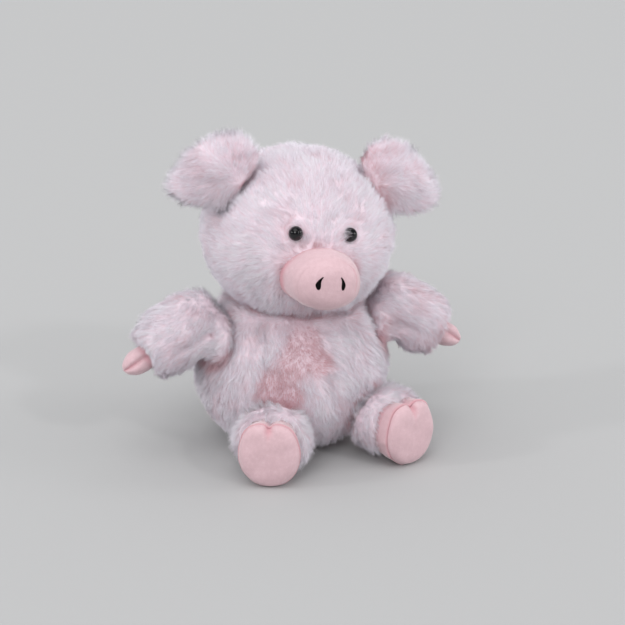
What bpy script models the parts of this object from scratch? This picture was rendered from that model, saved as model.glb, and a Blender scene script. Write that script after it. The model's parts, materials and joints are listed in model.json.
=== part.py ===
"""Sitting plush pig: fur covers over stuffing, a velour snout, cleft velour hooves and safety eyes.

Metres, +Z up. The pig faces -Y and sits on the plane z = 0, with the body's centre over the origin.
Left and right are the pig's own, so its left side is +X. The head leans a little to its left.
Each limb, ear and tail turns on its sewn seam, and its pieces hang from an empty on that seam.
"""

import math

import bmesh
import bpy
from mathutils import Matrix, Vector
from mathutils.bvhtree import BVHTree

# Fits and cloth
SHARP_ANGLE = math.radians(40)  # between faces that are shaded apart
GAP = 0.0003  # between pieces that lie against each other
SEAM_PLAY = 0.0006  # between pieces that turn against each other
OVERRUN = 0.02  # how far a cutter runs past what it cuts
FLOOR_PRESS = 0.0005  # how deep the floor flattens a soft form
PLUSH = 0.006  # knit backing with its pile
VELOUR = 0.0018

# Body, a pear with a flat seat
BODY_WIDTH = 0.141
BODY_DEPTH = 0.134
BODY_HEIGHT = 0.121
BODY_STATION_SHARES = (
    # height, radius
    (0.0, 0.60),
    (0.10, 0.82),
    (0.25, 0.97),
    (0.43, 1.02),
    (0.62, 0.95),
    (0.80, 0.76),
    (0.95, 0.48),
)
PELLET_BAG_WIDTH = 0.056
PELLET_BAG_BACK = 0.011  # behind the body's centre
PELLET_BAG_RISE = 0.0080  # of its underside above the floor
PELLET_BAG_HEIGHT = 0.022

# Head, turning on the neck's axis
NECK_X = -0.0016
NECK_HEIGHT = 0.091
NECK_HOLE_RADIUS = 0.024
HEAD_TILT = math.radians(6)  # to its left
HEAD_YAW = math.radians(2)  # to its right
HEAD_WIDTH = 0.139
HEAD_DEPTH = 0.130
HEAD_HEIGHT = 0.129
HEAD_SINK = 0.0090  # how far the head reaches down past the neck's seam
HEAD_RISE = HEAD_HEIGHT / 2 - HEAD_SINK  # from the neck's seam to the head's centre
HEAD_ROUND_SHARE = 0.40  # of the height, up to where the head stays round to turn in the body
HEAD_STATION_SHARES = (
    # height, radius
    (0.06, 0.42),
    (0.20, 0.76),
    (0.36, 0.97),
    (0.52, 1.03),
    (0.68, 0.97),
    (0.84, 0.77),
    (0.96, 0.42),
)

# Snout: a tapered side band, closed by a domed face
SNOUT_DROP = 0.0120  # below the head's centre
SNOUT_BASE_REACH = 0.050  # from the neck's axis, inside the head's skin
SNOUT_BASE_WIDTH = 0.055
SNOUT_BASE_HEIGHT = 0.046
SNOUT_FACE_REACH = 0.079  # to the face's seam
SNOUT_FACE_WIDTH = 0.043
SNOUT_FACE_HEIGHT = 0.038
SNOUT_DOME = 0.009
SNOUT_SEAM = 0.0012  # the face's rim bulges this far past the band
SNOUT_BAND_SHARES = (
    # run, spread from the face's size to the base's
    (0.0, 1.0),
    (0.35, 1.0),
    (0.72, 0.62),
    (1.0, 0.0),
)
SNOUT_FACE_TURNS = (math.radians(25), math.radians(45), math.radians(65), math.radians(80))
NOSTRIL_SPACING = 0.018
NOSTRIL_HEIGHT = 0.0095
NOSTRIL_WIDTH = 0.0046
NOSTRIL_RISE = 0.0045  # above the face's centre
STITCH_HEIGHT = 0.0008
NOSTRIL_SHARES = (
    # rise, sideways bend, width
    (-0.50, 0.00, 0.55),
    (-0.36, 0.03, 0.92),
    (-0.18, 0.05, 1.00),
    (0.02, -0.04, 0.80),
    (0.22, -0.24, 0.55),
    (0.38, -0.50, 0.38),
    (0.50, -0.80, 0.24),
)

# Eyes: safety eyes, each with its washer behind the cloth
EYE_WIDTH = 0.0098
EYE_SPACING = 0.040
EYE_RISE_SHARE = 0.2636  # of the head's half height, above its centre
EYE_SINK = 0.0020  # of the bead's centre, under the pile's tips
EYE_BACK = 0.0012  # from the bead's centre to its flat back
EYE_STEM_WIDTH = 0.0040
EYE_STEM_REACH = 0.0035  # past the washer
WASHER_WIDTH = 0.0130
WASHER_THICKNESS = 0.0016
WASHER_PRESS = 0.0004  # into the back of the cloth

# Ears, thick flaps whose tips point out and down
EAR_SEAM_X = 0.0495
EAR_SEAM_FRONT = 0.0150
EAR_SEAM_RISE_SHARE = 0.6280  # of the head's half height, above its centre
EAR_SEAM_SLOPE = math.radians(54)  # down and out from the level
EAR_SEAM_SWEEP = math.radians(-10)  # of the seam's lower end, to the front
EAR_TURN = math.radians(15)  # each way
EAR_ROOT_LENGTH = 0.054
EAR_ROOT_THICKNESS = 0.0154
EAR_WIDTH = 0.064
EAR_REACH = 0.040
EAR_THICKNESS = 0.022
EAR_TIP_SHIFT = 0.015  # of the tip, towards the seam's lower end
EAR_SWEEP = 0.010  # of the tip, to the back
EAR_STATION_SHARES = (
    # reach, width, thickness
    (0.06, 0.88, 0.66),
    (0.22, 0.98, 0.88),
    (0.44, 1.03, 1.03),
    (0.66, 0.97, 1.00),
    (0.84, 0.80, 0.84),
    (0.95, 0.50, 0.52),
)

# Arms
ARM_PIVOT_X = 0.056
ARM_PIVOT_FRONT = 0.003
ARM_PIVOT_HEIGHT = 0.0755
ARM_ROOT_RADIUS = 0.0165
ARM_HOLE_RADIUS = 0.008
ARM_LENGTH = 0.064
ARM_THICKNESS = 0.0555
ARM_FORWARD = {"left": math.radians(12), "right": math.radians(4)}
ARM_DROOP = {"left": math.radians(-1), "right": math.radians(-3)}
ARM_BEND = 0.006  # how far the end hangs below the arm's line
ARM_SHOULDER_RISE = 0.0155  # how far the shoulder swells above it
ARM_DROP = math.radians(20)
ARM_STATION_SHARES = (
    # length past the pivot, radius
    (0.04, 0.60),
    (0.14, 0.88),
    (0.34, 1.02),
    (0.55, 1.02),
    (0.76, 0.92),
    (0.91, 0.72),
    (0.98, 0.43),
)
HAND_SEAM = 0.050  # from the pivot to the hoof's seam, along the arm
HAND_SIDE_DROP = 0.0095  # of the hoof's centre below the arm's line
HAND_DROOP = math.radians(30)  # of the hoof, more than the arm
HAND_WIDTH = 0.024
HAND_HEIGHT = 0.021
HAND_LENGTH = 0.020
HAND_STATION_SHARES = (
    # length, radius
    (0.0, 0.86),
    (0.10, 0.98),
    (0.38, 1.0),
    (0.68, 0.87),
    (0.88, 0.62),
    (0.97, 0.32),
)

# Legs
LEG_PIVOT_X = {"left": 0.040, "right": 0.0240}
LEG_PIVOT_FRONT = {"left": 0.0340, "right": 0.0415}
LEG_ROOT_RADIUS = 0.0215
LEG_HOLE_RADIUS = 0.0105
LEG_LENGTH = 0.049
LEG_WIDTH = 0.058
LEG_THICKNESS = 0.0525
LEG_SPLAY = {"left": math.radians(21), "right": math.radians(23.5)}
LEG_SPREAD = math.radians(20)
LEG_STATION_SHARES = (
    # length past the pivot, radius
    (0.04, 0.60),
    (0.14, 0.84),
    (0.36, 0.98),
    (0.60, 1.03),
    (0.81, 0.96),
    (0.95, 0.74),
)
FOOT_SEAM = 0.041  # from the pivot to the hoof's seam, along the leg
FOOT_WIDTH = 0.043
FOOT_HEIGHT = 0.046
FOOT_BAND = 0.010
FOOT_DOME = 0.006
FOOT_BAND_SHARES = (
    # length, radius
    (0.0, 0.93),
    (0.25, 0.99),
    (0.65, 1.0),
    (1.0, 0.97),
)
FOOT_SOLE_SHARES = (
    (0.0, 0.97),
    (0.22, 0.99),
    (0.62, 0.88),
    (0.88, 0.62),
    (0.98, 0.30),
)

# The cleft outline that the hooves share, as shares of the half width
CLEFT_SHARE = 0.20
LOBE_SHARE = 0.07
CLEFT_SPREAD = math.radians(11)
LOBE_SPREAD = math.radians(22)
LOBE_ANGLE = math.radians(38)  # of each lobe from the cleft

# Tail, a curl on the back seam
TAIL_HEIGHT = 0.040
TAIL_ROOT_RADIUS = 0.0042
TAIL_SINK = 0.0006  # of the root's centre, under the body's skin
TAIL_THICKNESS = 0.0070
TAIL_CURL_RADIUS = 0.0085
TAIL_PITCH = 0.0110
TAIL_TURNS = 1.25
TAIL_LEAD = 0.008  # from the root's centre to the curl
TAIL_TIP_SHARE = 0.60

# Facets
BODY_SEGMENTS = 12
HEAD_SEGMENTS = 12
LIMB_SEGMENTS = 8
EAR_SEGMENTS = 8
SNOUT_SEGMENTS = 20
HOOF_SEGMENTS = 24
BALL_SEGMENTS = 16
PIN_SEGMENTS = 12
CURL_POINTS = 8
SWEEP_STEPS = 3

SIDES = {"left": 1, "right": -1}
UP = Vector((0, 0, 1))


def clear_scene():
    for thing in list(bpy.data.objects):
        bpy.data.objects.remove(thing, do_unlink=True)
    for mesh in list(bpy.data.meshes):
        bpy.data.meshes.remove(mesh)


def new_collection(name):
    made = bpy.data.collections.new(name)
    bpy.context.scene.collection.children.link(made)
    return made


def material(name, colour, roughness, sheen=0.0):
    made = bpy.data.materials.new(name)
    made.use_nodes = True
    shader = made.node_tree.nodes["Principled BSDF"]
    shader.inputs["Base Color"].default_value = (*colour, 1.0)
    shader.inputs["Roughness"].default_value = roughness
    shader.inputs["Metallic"].default_value = 0.0
    shader.inputs["Sheen Weight"].default_value = sheen
    return made


def placed(name, data, parent, finish=None):
    """A new object for this mesh or curve: a sub-part with its finish, or a hidden guide without one."""
    thing = bpy.data.objects.new(name, data)
    thing.parent = parent
    if finish is None:
        GUIDES.objects.link(thing)
        thing.hide_render = True
        thing.display_type = "WIRE"
    else:
        PARTS.objects.link(thing)
        data.materials.append(finish)
        data.shade_smooth()
        data.set_sharp_from_angle(angle=SHARP_ANGLE)
    return thing


def frame(name, location, direction, parent=None, up=UP):
    """An empty whose Z runs along the direction, with its Y towards up."""
    thing = bpy.data.objects.new(name, None)
    PARTS.objects.link(thing)
    thing.parent = parent
    thing.location = location
    along = Vector(direction).normalized()
    across = up.cross(along).normalized()
    turn = Matrix((across, along.cross(across), along)).transposed()
    thing.rotation_euler = turn.to_euler()
    bpy.context.view_layer.update()
    return thing


def evaluated_mesh(thing):
    """The object's mesh with its modifiers applied."""
    bpy.context.view_layer.update()
    graph = bpy.context.evaluated_depsgraph_get()
    return bpy.data.meshes.new_from_object(thing.evaluated_get(graph), depsgraph=graph)


def loft_mesh(name, rings, segments, outline=None):
    """A closed mesh round Z through rings of (z, half width, half height, x, y).

    Its ends are poles: the first and last rings have no width. The outline gives each angle its
    share of the ring, so that a cleft can run along the form.
    """
    mesh = bpy.data.meshes.new(name)
    bm = bmesh.new()
    rows = []
    for z, wide, high, x, y in rings[1:-1]:
        row = []
        for step in range(segments):
            angle = 2 * math.pi * step / segments
            share = outline(angle) if outline else 1.0
            row.append(
                bm.verts.new(
                    (x + wide * share * math.cos(angle), y + high * share * math.sin(angle), z)
                )
            )
        rows.append(row)
    first = bm.verts.new((rings[0][3], rings[0][4], rings[0][0]))
    last = bm.verts.new((rings[-1][3], rings[-1][4], rings[-1][0]))
    for step in range(segments):
        after = (step + 1) % segments
        bm.faces.new((rows[0][after], rows[0][step], first))
        bm.faces.new((rows[-1][step], rows[-1][after], last))
        for lower, upper in zip(rows, rows[1:]):
            bm.faces.new((lower[step], lower[after], upper[after], upper[step]))
    bm.to_mesh(mesh)
    bm.free()
    return mesh


def capped(rings):
    """The rings with a flat pole at each end."""
    first = rings[0]
    last = rings[-1]
    return [(first[0], 0, 0, first[3], first[4]), *rings, (last[0], 0, 0, last[3], last[4])]


def soft_form(name, parent, rings, segments, width, depth):
    """A cage through the rings, smoothed by Subdivision Surface and drawn out to its real size."""
    form = placed(name, loft_mesh(name, rings, segments), parent)
    smooth = form.modifiers.new("smooth", "SUBSURF")
    smooth.levels = smooth.render_levels = 1
    points = [v.co.copy() for v in evaluated_mesh(form).vertices]
    low = rings[0][0]
    high = rings[-1][0]
    shrunk_low = min(p.z for p in points)
    shrunk_high = max(p.z for p in points)
    for vertex in form.data.vertices:
        share = (vertex.co.z - shrunk_low) / (shrunk_high - shrunk_low)
        vertex.co.z = low + share * (high - low)
    wide = max(p.x for p in points) - min(p.x for p in points)
    deep = max(p.y for p in points) - min(p.y for p in points)
    for vertex in form.data.vertices:
        vertex.co.x *= width / wide
        vertex.co.y *= depth / deep
    return form


def triangulated(mesh):
    bm = bmesh.new()
    bm.from_mesh(mesh)
    bmesh.ops.triangulate(bm, faces=bm.faces)
    bm.to_mesh(mesh)
    bm.free()
    return mesh


def grown_form(name, form, distance):
    """The finished form, grown outwards by this distance."""
    mesh = evaluated_mesh(form)
    bm = bmesh.new()
    bm.from_mesh(mesh)
    bm.normal_update()
    moves = [v.normal * (distance * v.calc_shell_factor()) for v in bm.verts]
    for vertex, move in zip(bm.verts, moves):
        vertex.co += move
    bm.to_mesh(mesh)
    bm.free()
    return placed(name, triangulated(mesh), form.parent)


def inset_form(name, form, distance, finish=None):
    """The form's cage, drawn in until it lies this far inside the finished skin."""
    skin = evaluated_mesh(form)
    mesh = form.data.copy()
    for vertex, point in zip(mesh.vertices, skin.vertices):
        vertex.co = point.co - point.normal * distance
    return placed(name, triangulated(mesh), form.parent, finish)


def dressed(name, form, finish):
    """The finished form as a sub-part of its own."""
    return placed(name, triangulated(evaluated_mesh(form)), form.parent, finish)


def boolean(thing, operation, *others):
    for other in others:
        made = thing.modifiers.new(other.name, "BOOLEAN")
        made.operation = operation
        made.solver = "EXACT"
        made.object = other
    return thing


def cut(thing, *others):
    return boolean(thing, "DIFFERENCE", *others)


def turned_copies(form, seam, axis, turns):
    """Where the form lies, as seen from a piece that has turned on the seam by each of the turns."""
    bpy.context.view_layer.update()
    pivot = seam.matrix_world.translation
    copies = []
    for number, turn in enumerate(turns):
        copy = placed(f"{form.name}_{number}", form.data, None)
        back = Matrix.Rotation(-turn, 4, axis)
        copy.matrix_world = (
            Matrix.Translation(pivot) @ back @ Matrix.Translation(-pivot) @ form.matrix_world
        )
        copies.append(copy)
    return copies


def steps_between(low, high):
    return [low + (high - low) * step / (SWEEP_STEPS - 1) for step in range(SWEEP_STEPS)]


def ball(name, parent, radii, at=(0, 0, 0), finish=None):
    mesh = bpy.data.meshes.new(name)
    bm = bmesh.new()
    place = Matrix.Translation(at) @ Matrix.Diagonal((*radii, 1.0))
    bmesh.ops.create_uvsphere(
        bm,
        u_segments=BALL_SEGMENTS,
        v_segments=BALL_SEGMENTS // 2,
        radius=1,
        matrix=place,
    )
    bm.to_mesh(mesh)
    bm.free()
    return placed(name, mesh, parent, finish)


def socket_reach(radius):
    """A faceted socket's radius, drawn large enough for a faceted ball to turn inside it."""
    return (radius + SEAM_PLAY) / math.cos(math.pi / BALL_SEGMENTS) ** 2


def socket(name, parent, radius):
    return ball(name, parent, (socket_reach(radius),) * 3)


def pin(name, parent, radius, low, high, finish=None):
    """A cylinder along the parent's Z from low to high."""
    mesh = bpy.data.meshes.new(name)
    bm = bmesh.new()
    bmesh.ops.create_cone(
        bm,
        cap_ends=True,
        segments=PIN_SEGMENTS,
        radius1=radius,
        radius2=radius,
        depth=high - low,
        matrix=Matrix.Translation((0, 0, (low + high) / 2)),
    )
    bm.to_mesh(mesh)
    bm.free()
    return placed(name, mesh, parent, finish)


def block(name, parent, low, high):
    mesh = bpy.data.meshes.new(name)
    bm = bmesh.new()
    sides = [b - a for a, b in zip(low, high)]
    middle = [(a + b) / 2 for a, b in zip(low, high)]
    place = Matrix.Translation(middle) @ Matrix.Diagonal((*sides, 1.0))
    bmesh.ops.create_cube(bm, size=1, matrix=place)
    bm.to_mesh(mesh)
    bm.free()
    return placed(name, mesh, parent)


def tube(name, points, parent, finish):
    """A round-ended cord's mesh through points of (x, y, z, radius)."""
    curve = bpy.data.curves.new(name, "CURVE")
    curve.dimensions = "3D"
    curve.bevel_depth = 1.0
    curve.bevel_resolution = 1
    curve.use_fill_caps = True
    spline = curve.splines.new("POLY")
    spline.points.add(len(points) - 1)
    for target, (x, y, z, radius) in zip(spline.points, points):
        target.co = (x, y, z, 1)
        target.radius = radius
    guide = placed(f"{name}_curve", curve, parent)
    mesh = evaluated_mesh(guide)
    bpy.data.objects.remove(guide)
    bm = bmesh.new()
    bm.from_mesh(mesh)
    bmesh.ops.remove_doubles(bm, verts=bm.verts, dist=GAP / 100)
    bm.to_mesh(mesh)
    bm.free()
    return placed(name, mesh, parent, finish)


def cleft_outline(angle):
    """The share of a hoof's half width at each angle: a cleft at the top between two lobes."""
    away = abs(math.remainder(angle - math.pi / 2, 2 * math.pi))
    cleft = CLEFT_SHARE * math.exp(-((away / CLEFT_SPREAD) ** 2))
    lobe = LOBE_SHARE * math.exp(-(((away - LOBE_ANGLE) / LOBE_SPREAD) ** 2))
    return 1 + lobe - cleft


def hoof_rings(shares, low, length, width, height, inset=0.0):
    rings = []
    for run, radius in shares:
        wide = width / 2 * radius - inset
        high = height / 2 * radius - inset
        rings.append((low + length * run, wide, high, 0, 0))
    return rings


def hoof(name, parent, rings, finish=None):
    return placed(name, loft_mesh(name, rings, HOOF_SEGMENTS, cleft_outline), parent, finish)


def skin_point(form, x, z, way):
    """The form's skin on the line that runs along y towards way, and the skin's own direction."""
    mesh = evaluated_mesh(form)
    tree = BVHTree.FromPolygons(
        [v.co for v in mesh.vertices], [tuple(p.vertices) for p in mesh.polygons]
    )
    at, normal, _, _ = tree.ray_cast(Vector((x, -way * BODY_WIDTH, z)), Vector((0, way, 0)))
    return at, normal


def body_form():
    low = -FLOOR_PRESS
    rings = [(low, 0, 0, 0, 0)]
    for height, radius in BODY_STATION_SHARES:
        wide = BODY_WIDTH / 2 * radius
        rings.append((low + BODY_HEIGHT * height, wide, BODY_DEPTH / 2 * radius, 0, 0))
    rings.append((low + BODY_HEIGHT, 0, 0, 0, 0))
    return soft_form("body_form", None, rings, BODY_SEGMENTS, BODY_WIDTH, BODY_DEPTH)


def head_form(name, neck, depth):
    """The head, round about the neck's axis below, and this deep above."""
    low = HEAD_RISE - HEAD_HEIGHT / 2
    rings = [(low, 0, 0, 0, 0)]
    for height, radius in HEAD_STATION_SHARES:
        wide = HEAD_WIDTH / 2 * radius
        rings.append((low + HEAD_HEIGHT * height, wide, wide, 0, 0))
    rings.append((low + HEAD_HEIGHT, 0, 0, 0, 0))
    form = soft_form(name, neck, rings, HEAD_SEGMENTS, HEAD_WIDTH, HEAD_WIDTH)
    round_to = low + HEAD_HEIGHT * HEAD_ROUND_SHARE
    for vertex in form.data.vertices:
        if vertex.co.z > round_to:
            vertex.co.y *= depth / HEAD_WIDTH
    return form


def limb_form(name, seam, shares, length, width, thickness, rise=0.0, bend=0.0):
    """A limb along its seam's Z, swelling from its root and tapering to a blunt end."""
    rings = [(0, 0, 0, 0, rise)]
    for run, radius in shares:
        lift = rise * (1 - run) - bend * run**2
        rings.append((length * run, width / 2 * radius, thickness / 2 * radius, 0, lift))
    rings.append((length, 0, 0, 0, -bend))
    return soft_form(name, seam, rings, LIMB_SEGMENTS, width, thickness + (rise + bend) / 2)


def limb_layer(name, form, seam, beside, axis, turns, root_radius, depth, finish=None):
    """The limb, this deep under its skin: clear of what it turns beside, and with a round root."""
    if depth:
        layer = inset_form(name, form, depth, finish)
    else:
        layer = dressed(name, form, finish)
    for neighbour in beside:
        room = grown_form(f"{name}_{neighbour.name}_room", neighbour, SEAM_PLAY + depth)
        cut(layer, *turned_copies(room, seam, axis, turns))
    radius = root_radius - depth
    return boolean(layer, "UNION", ball(f"{name}_root", seam, (radius,) * 3))


def build_limb(name, form, seam, beside, axis, turns, root_radius, hole_radius, ends):
    """A limb's cover and stuffing. The ends are what cuts both of them off."""
    held = (form, seam, beside, axis, turns, root_radius)
    past_root = root_radius + PLUSH
    cover = limb_layer(f"{name}_cover", *held, 0, FUR)
    hollow = limb_layer(f"{name}_hollow", *held, PLUSH)
    hole = pin(f"{name}_hole", seam, hole_radius, -root_radius - OVERRUN, past_root)
    boolean(hollow, "UNION", hole)
    cut(cover, hollow, *ends)
    stuffing = limb_layer(f"{name}_stuffing", *held, PLUSH + GAP, STUFFING)
    deep = math.sqrt(root_radius**2 - hole_radius**2)
    plug = pin(f"{name}_hole_plug", seam, hole_radius - GAP, -deep, past_root - GAP)
    boolean(stuffing, "UNION", plug)
    cut(stuffing, *ends)
    return cover, stuffing


def build_arm(side, shoulder, beside):
    form = limb_form(
        f"arm_{side}_form",
        shoulder,
        ARM_STATION_SHARES,
        ARM_LENGTH,
        ARM_THICKNESS,
        ARM_THICKNESS,
        ARM_SHOULDER_RISE,
        ARM_BEND,
    )
    wrist = frame(
        f"wrist_{side}",
        (0, -HAND_SIDE_DROP, HAND_SEAM),
        (0, -math.sin(HAND_DROOP), math.cos(HAND_DROOP)),
        shoulder,
        Vector((0, 1, 0)),
    )
    reach = ARM_THICKNESS
    end = block(f"arm_{side}_end", wrist, (-reach, -reach, 0), (reach, reach, reach))
    build_limb(
        f"arm_{side}",
        form,
        shoulder,
        beside,
        Vector((0, SIDES[side], 0)),
        steps_between(0, ARM_DROP),
        ARM_ROOT_RADIUS,
        ARM_HOLE_RADIUS,
        (end,),
    )
    rings = hoof_rings(HAND_STATION_SHARES, GAP, HAND_LENGTH, HAND_WIDTH, HAND_HEIGHT)
    tip = (GAP + HAND_LENGTH, 0, 0, 0, 0)
    hoof(f"hand_hoof_{side}", wrist, [(GAP, 0, 0, 0, 0), *rings, tip], VELOUR_PINK)


def build_leg(side, hip, beside, floor):
    form = limb_form(
        f"leg_{side}_form", hip, LEG_STATION_SHARES, LEG_LENGTH, LEG_WIDTH, LEG_THICKNESS
    )
    reach = LEG_WIDTH
    end = block(
        f"leg_{side}_end",
        hip,
        (-reach, -reach, FOOT_SEAM),
        (reach, reach, FOOT_SEAM + reach),
    )
    cover, stuffing = build_limb(
        f"leg_{side}",
        form,
        hip,
        beside,
        Vector((0, 0, SIDES[side])),
        steps_between(0, LEG_SPREAD),
        LEG_ROOT_RADIUS,
        LEG_HOLE_RADIUS,
        (end, floor),
    )
    drop = LEG_THICKNESS / 2 - FOOT_HEIGHT / 2
    ankle = frame(f"ankle_{side}", (0, -drop, FOOT_SEAM), (0, 0, 1), hip, Vector((0, 1, 0)))
    front = GAP + FOOT_BAND
    plug = hoof_rings(
        FOOT_BAND_SHARES,
        -PLUSH,
        front + PLUSH - GAP,
        FOOT_WIDTH,
        FOOT_HEIGHT,
        VELOUR + PLUSH / 2,
    )
    boolean(stuffing, "UNION", hoof(f"leg_{side}_plug", ankle, capped(plug)))

    rings = hoof_rings(FOOT_BAND_SHARES, GAP, FOOT_BAND, FOOT_WIDTH, FOOT_HEIGHT)
    band = hoof(f"foot_band_{side}", ankle, capped(rings), VELOUR_PINK)
    room = hoof_rings(
        FOOT_BAND_SHARES,
        -OVERRUN,
        front + 2 * OVERRUN,
        FOOT_WIDTH,
        FOOT_HEIGHT,
        VELOUR + PLUSH / 2 - GAP,
    )
    room = hoof(f"foot_band_{side}_room", ankle, capped(room))
    cut(band, room, floor)
    cut(cover, room)

    low = front + GAP
    rings = hoof_rings(FOOT_SOLE_SHARES, low, FOOT_DOME, FOOT_WIDTH, FOOT_HEIGHT)
    dome = [(low, 0, 0, 0, 0), *rings, (low + FOOT_DOME, 0, 0, 0, 0)]
    cut(hoof(f"foot_sole_{side}", ankle, dome, VELOUR_PINK), floor)


def build_body(form, head_seat, sockets, tail_room, floor):
    cover = dressed("body_cover", form, FUR)
    cut(cover, inset_form("body_hollow", form, PLUSH), head_seat, *sockets, tail_room, floor)

    half = PELLET_BAG_WIDTH / 2
    tall = PELLET_BAG_HEIGHT / 2
    middle = (0, PELLET_BAG_BACK, PELLET_BAG_RISE + tall)
    ball("pellet_bag", None, (half, half, tall), middle, PELLETS)
    bag_room = ball("bag_room", None, (half + GAP, half + GAP, tall + GAP), middle)
    bag_way = pin("bag_way", None, half / 2, -OVERRUN, middle[2])
    bag_way.location.y = PELLET_BAG_BACK
    stuffing = inset_form("body_stuffing", form, PLUSH + GAP, STUFFING)
    cut(stuffing, *sockets, bag_room, bag_way, head_seat)


def band_rings(inset, back=0.0, front=0.0):
    """The snout's side band as rings along the snout's axis, run on at the back and the front."""
    run = SNOUT_FACE_REACH - SNOUT_BASE_REACH
    rings = []
    for share, spread in SNOUT_BAND_SHARES:
        wide = SNOUT_FACE_WIDTH + (SNOUT_BASE_WIDTH - SNOUT_FACE_WIDTH) * spread
        high = SNOUT_FACE_HEIGHT + (SNOUT_BASE_HEIGHT - SNOUT_FACE_HEIGHT) * spread
        reach = SNOUT_BASE_REACH + run * share
        rings.append((reach, wide / 2 - inset, high / 2 - inset, 0, 0))
    rings[0] = (rings[0][0] - back, *rings[0][1:])
    rings[-1] = (rings[-1][0] + front, *rings[-1][1:])
    return capped(rings)


def face_rings(grow=0.0):
    """The snout's domed face, grown outwards."""
    low = SNOUT_FACE_REACH + GAP
    wide = SNOUT_FACE_WIDTH / 2 + grow
    high = SNOUT_FACE_HEIGHT / 2 + grow
    shoulder = low + SNOUT_SEAM
    top = low + SNOUT_DOME + grow
    rings = [(low, 0, 0, 0, 0), (low, wide, high, 0, 0)]
    rings.append((shoulder, wide + SNOUT_SEAM / 2, high + SNOUT_SEAM / 2, 0, 0))
    for turn in SNOUT_FACE_TURNS:
        rise = (top - shoulder) * math.sin(turn)
        rings.append((shoulder + rise, wide * math.cos(turn), high * math.cos(turn), 0, 0))
    rings.append((top, 0, 0, 0, 0))
    return rings


def snout_piece(name, nose, rings, finish=None):
    return placed(name, loft_mesh(name, rings, SNOUT_SEGMENTS), nose, finish)


def build_snout(nose, head_outside):
    band = snout_piece("snout_band", nose, band_rings(0), VELOUR_PINK)
    room = snout_piece("snout_band_room", nose, band_rings(VELOUR, OVERRUN, OVERRUN))
    cut(band, head_outside, room)
    stuffing = snout_piece("snout_stuffing", nose, band_rings(VELOUR + GAP), STUFFING)
    cut(stuffing, head_outside)
    snout_piece("snout_face", nose, face_rings(), VELOUR_PINK)


def build_nostril(side, nose):
    """A comma of satin stitch that follows the face, fat and round below and thin above."""
    top = SNOUT_FACE_REACH + SNOUT_DOME
    points = []
    for rise, bend, width in NOSTRIL_SHARES:
        x = SIDES[side] * (NOSTRIL_SPACING / 2 + NOSTRIL_WIDTH * bend)
        y = NOSTRIL_RISE + NOSTRIL_HEIGHT * rise
        points.append((x, y, 0, NOSTRIL_WIDTH / 2 * width))
    nostril = tube(f"nostril_{side}", points, nose, THREAD)
    tall = SNOUT_DOME / NOSTRIL_WIDTH * 2
    nostril.data.transform(Matrix.Translation((0, 0, top)) @ Matrix.Diagonal((1, 1, tall, 1)))
    under = snout_piece(f"nostril_{side}_under", nose, face_rings(GAP))
    over = snout_piece(f"nostril_{side}_over", nose, face_rings(GAP + STITCH_HEIGHT))
    cut(boolean(nostril, "INTERSECT", over), under)


def eye_frame(side, head, neck):
    x = SIDES[side] * EYE_SPACING / 2
    rise = HEAD_HEIGHT / 2 * EYE_RISE_SHARE
    at, normal = skin_point(head, x, HEAD_RISE + rise, 1)
    return frame(f"eye_seat_{side}", at - normal * EYE_SINK, normal, neck)


def dome(name, seat, radius, back, finish=None):
    """A ball with a flat back."""
    wide = 2 * radius
    under = block(f"{name}_under", seat, (-wide, -wide, -wide), (wide, wide, -back))
    return cut(ball(name, seat, (radius,) * 3, finish=finish), under)


def build_eye(side, seat):
    """The eye, its washer, and the rooms that they need in the cover and in the stuffing.

    The cloth is held between the bead's flat back and the washer.
    """
    radius = EYE_WIDTH / 2
    top = EYE_SINK - PLUSH - GAP + WASHER_PRESS
    bottom = top - WASHER_THICKNESS
    stem_end = bottom - EYE_STEM_REACH
    eye = dome(f"eye_{side}", seat, radius, EYE_BACK, BEAD)
    boolean(eye, "UNION", pin(f"eye_{side}_stem", seat, EYE_STEM_WIDTH / 2, stem_end, 0))
    stem_room = pin(
        f"eye_{side}_stem_room", seat, EYE_STEM_WIDTH / 2 + GAP, stem_end - GAP, OVERRUN
    )
    bead_room = dome(f"eye_{side}_bead_room", seat, radius + GAP, EYE_BACK + GAP)
    washer = pin(f"eye_washer_{side}", seat, WASHER_WIDTH / 2, bottom, top, PLASTIC)
    cut(washer, stem_room)
    wide = WASHER_WIDTH / 2 + GAP
    washer_room = pin(f"eye_{side}_washer_room", seat, wide, stem_end, top + GAP)
    cover_room = boolean(bead_room, "UNION", stem_room, washer_room)
    stuffing_room = pin(f"eye_{side}_stuffing_room", seat, wide, bottom - GAP, 0)
    return cover_room, (stem_room, stuffing_room)


def ear_frame(side, neck):
    """The ear's seam: X along it, and Z out of the head."""
    way = SIDES[side]
    level = math.cos(EAR_SEAM_SLOPE)
    along = Vector(
        (
            way * level * math.cos(EAR_SEAM_SWEEP),
            level * math.sin(EAR_SEAM_SWEEP),
            -math.sin(EAR_SEAM_SLOPE),
        )
    )
    rise = HEAD_HEIGHT / 2 * EAR_SEAM_RISE_SHARE
    at = Vector((way * EAR_SEAM_X, -EAR_SEAM_FRONT, HEAD_RISE + rise))
    out = Vector((at.x, 0, rise))
    out -= along * out.dot(along)
    return frame(f"ear_{side}_seam", at, out, neck, out.cross(along * way))


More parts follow.
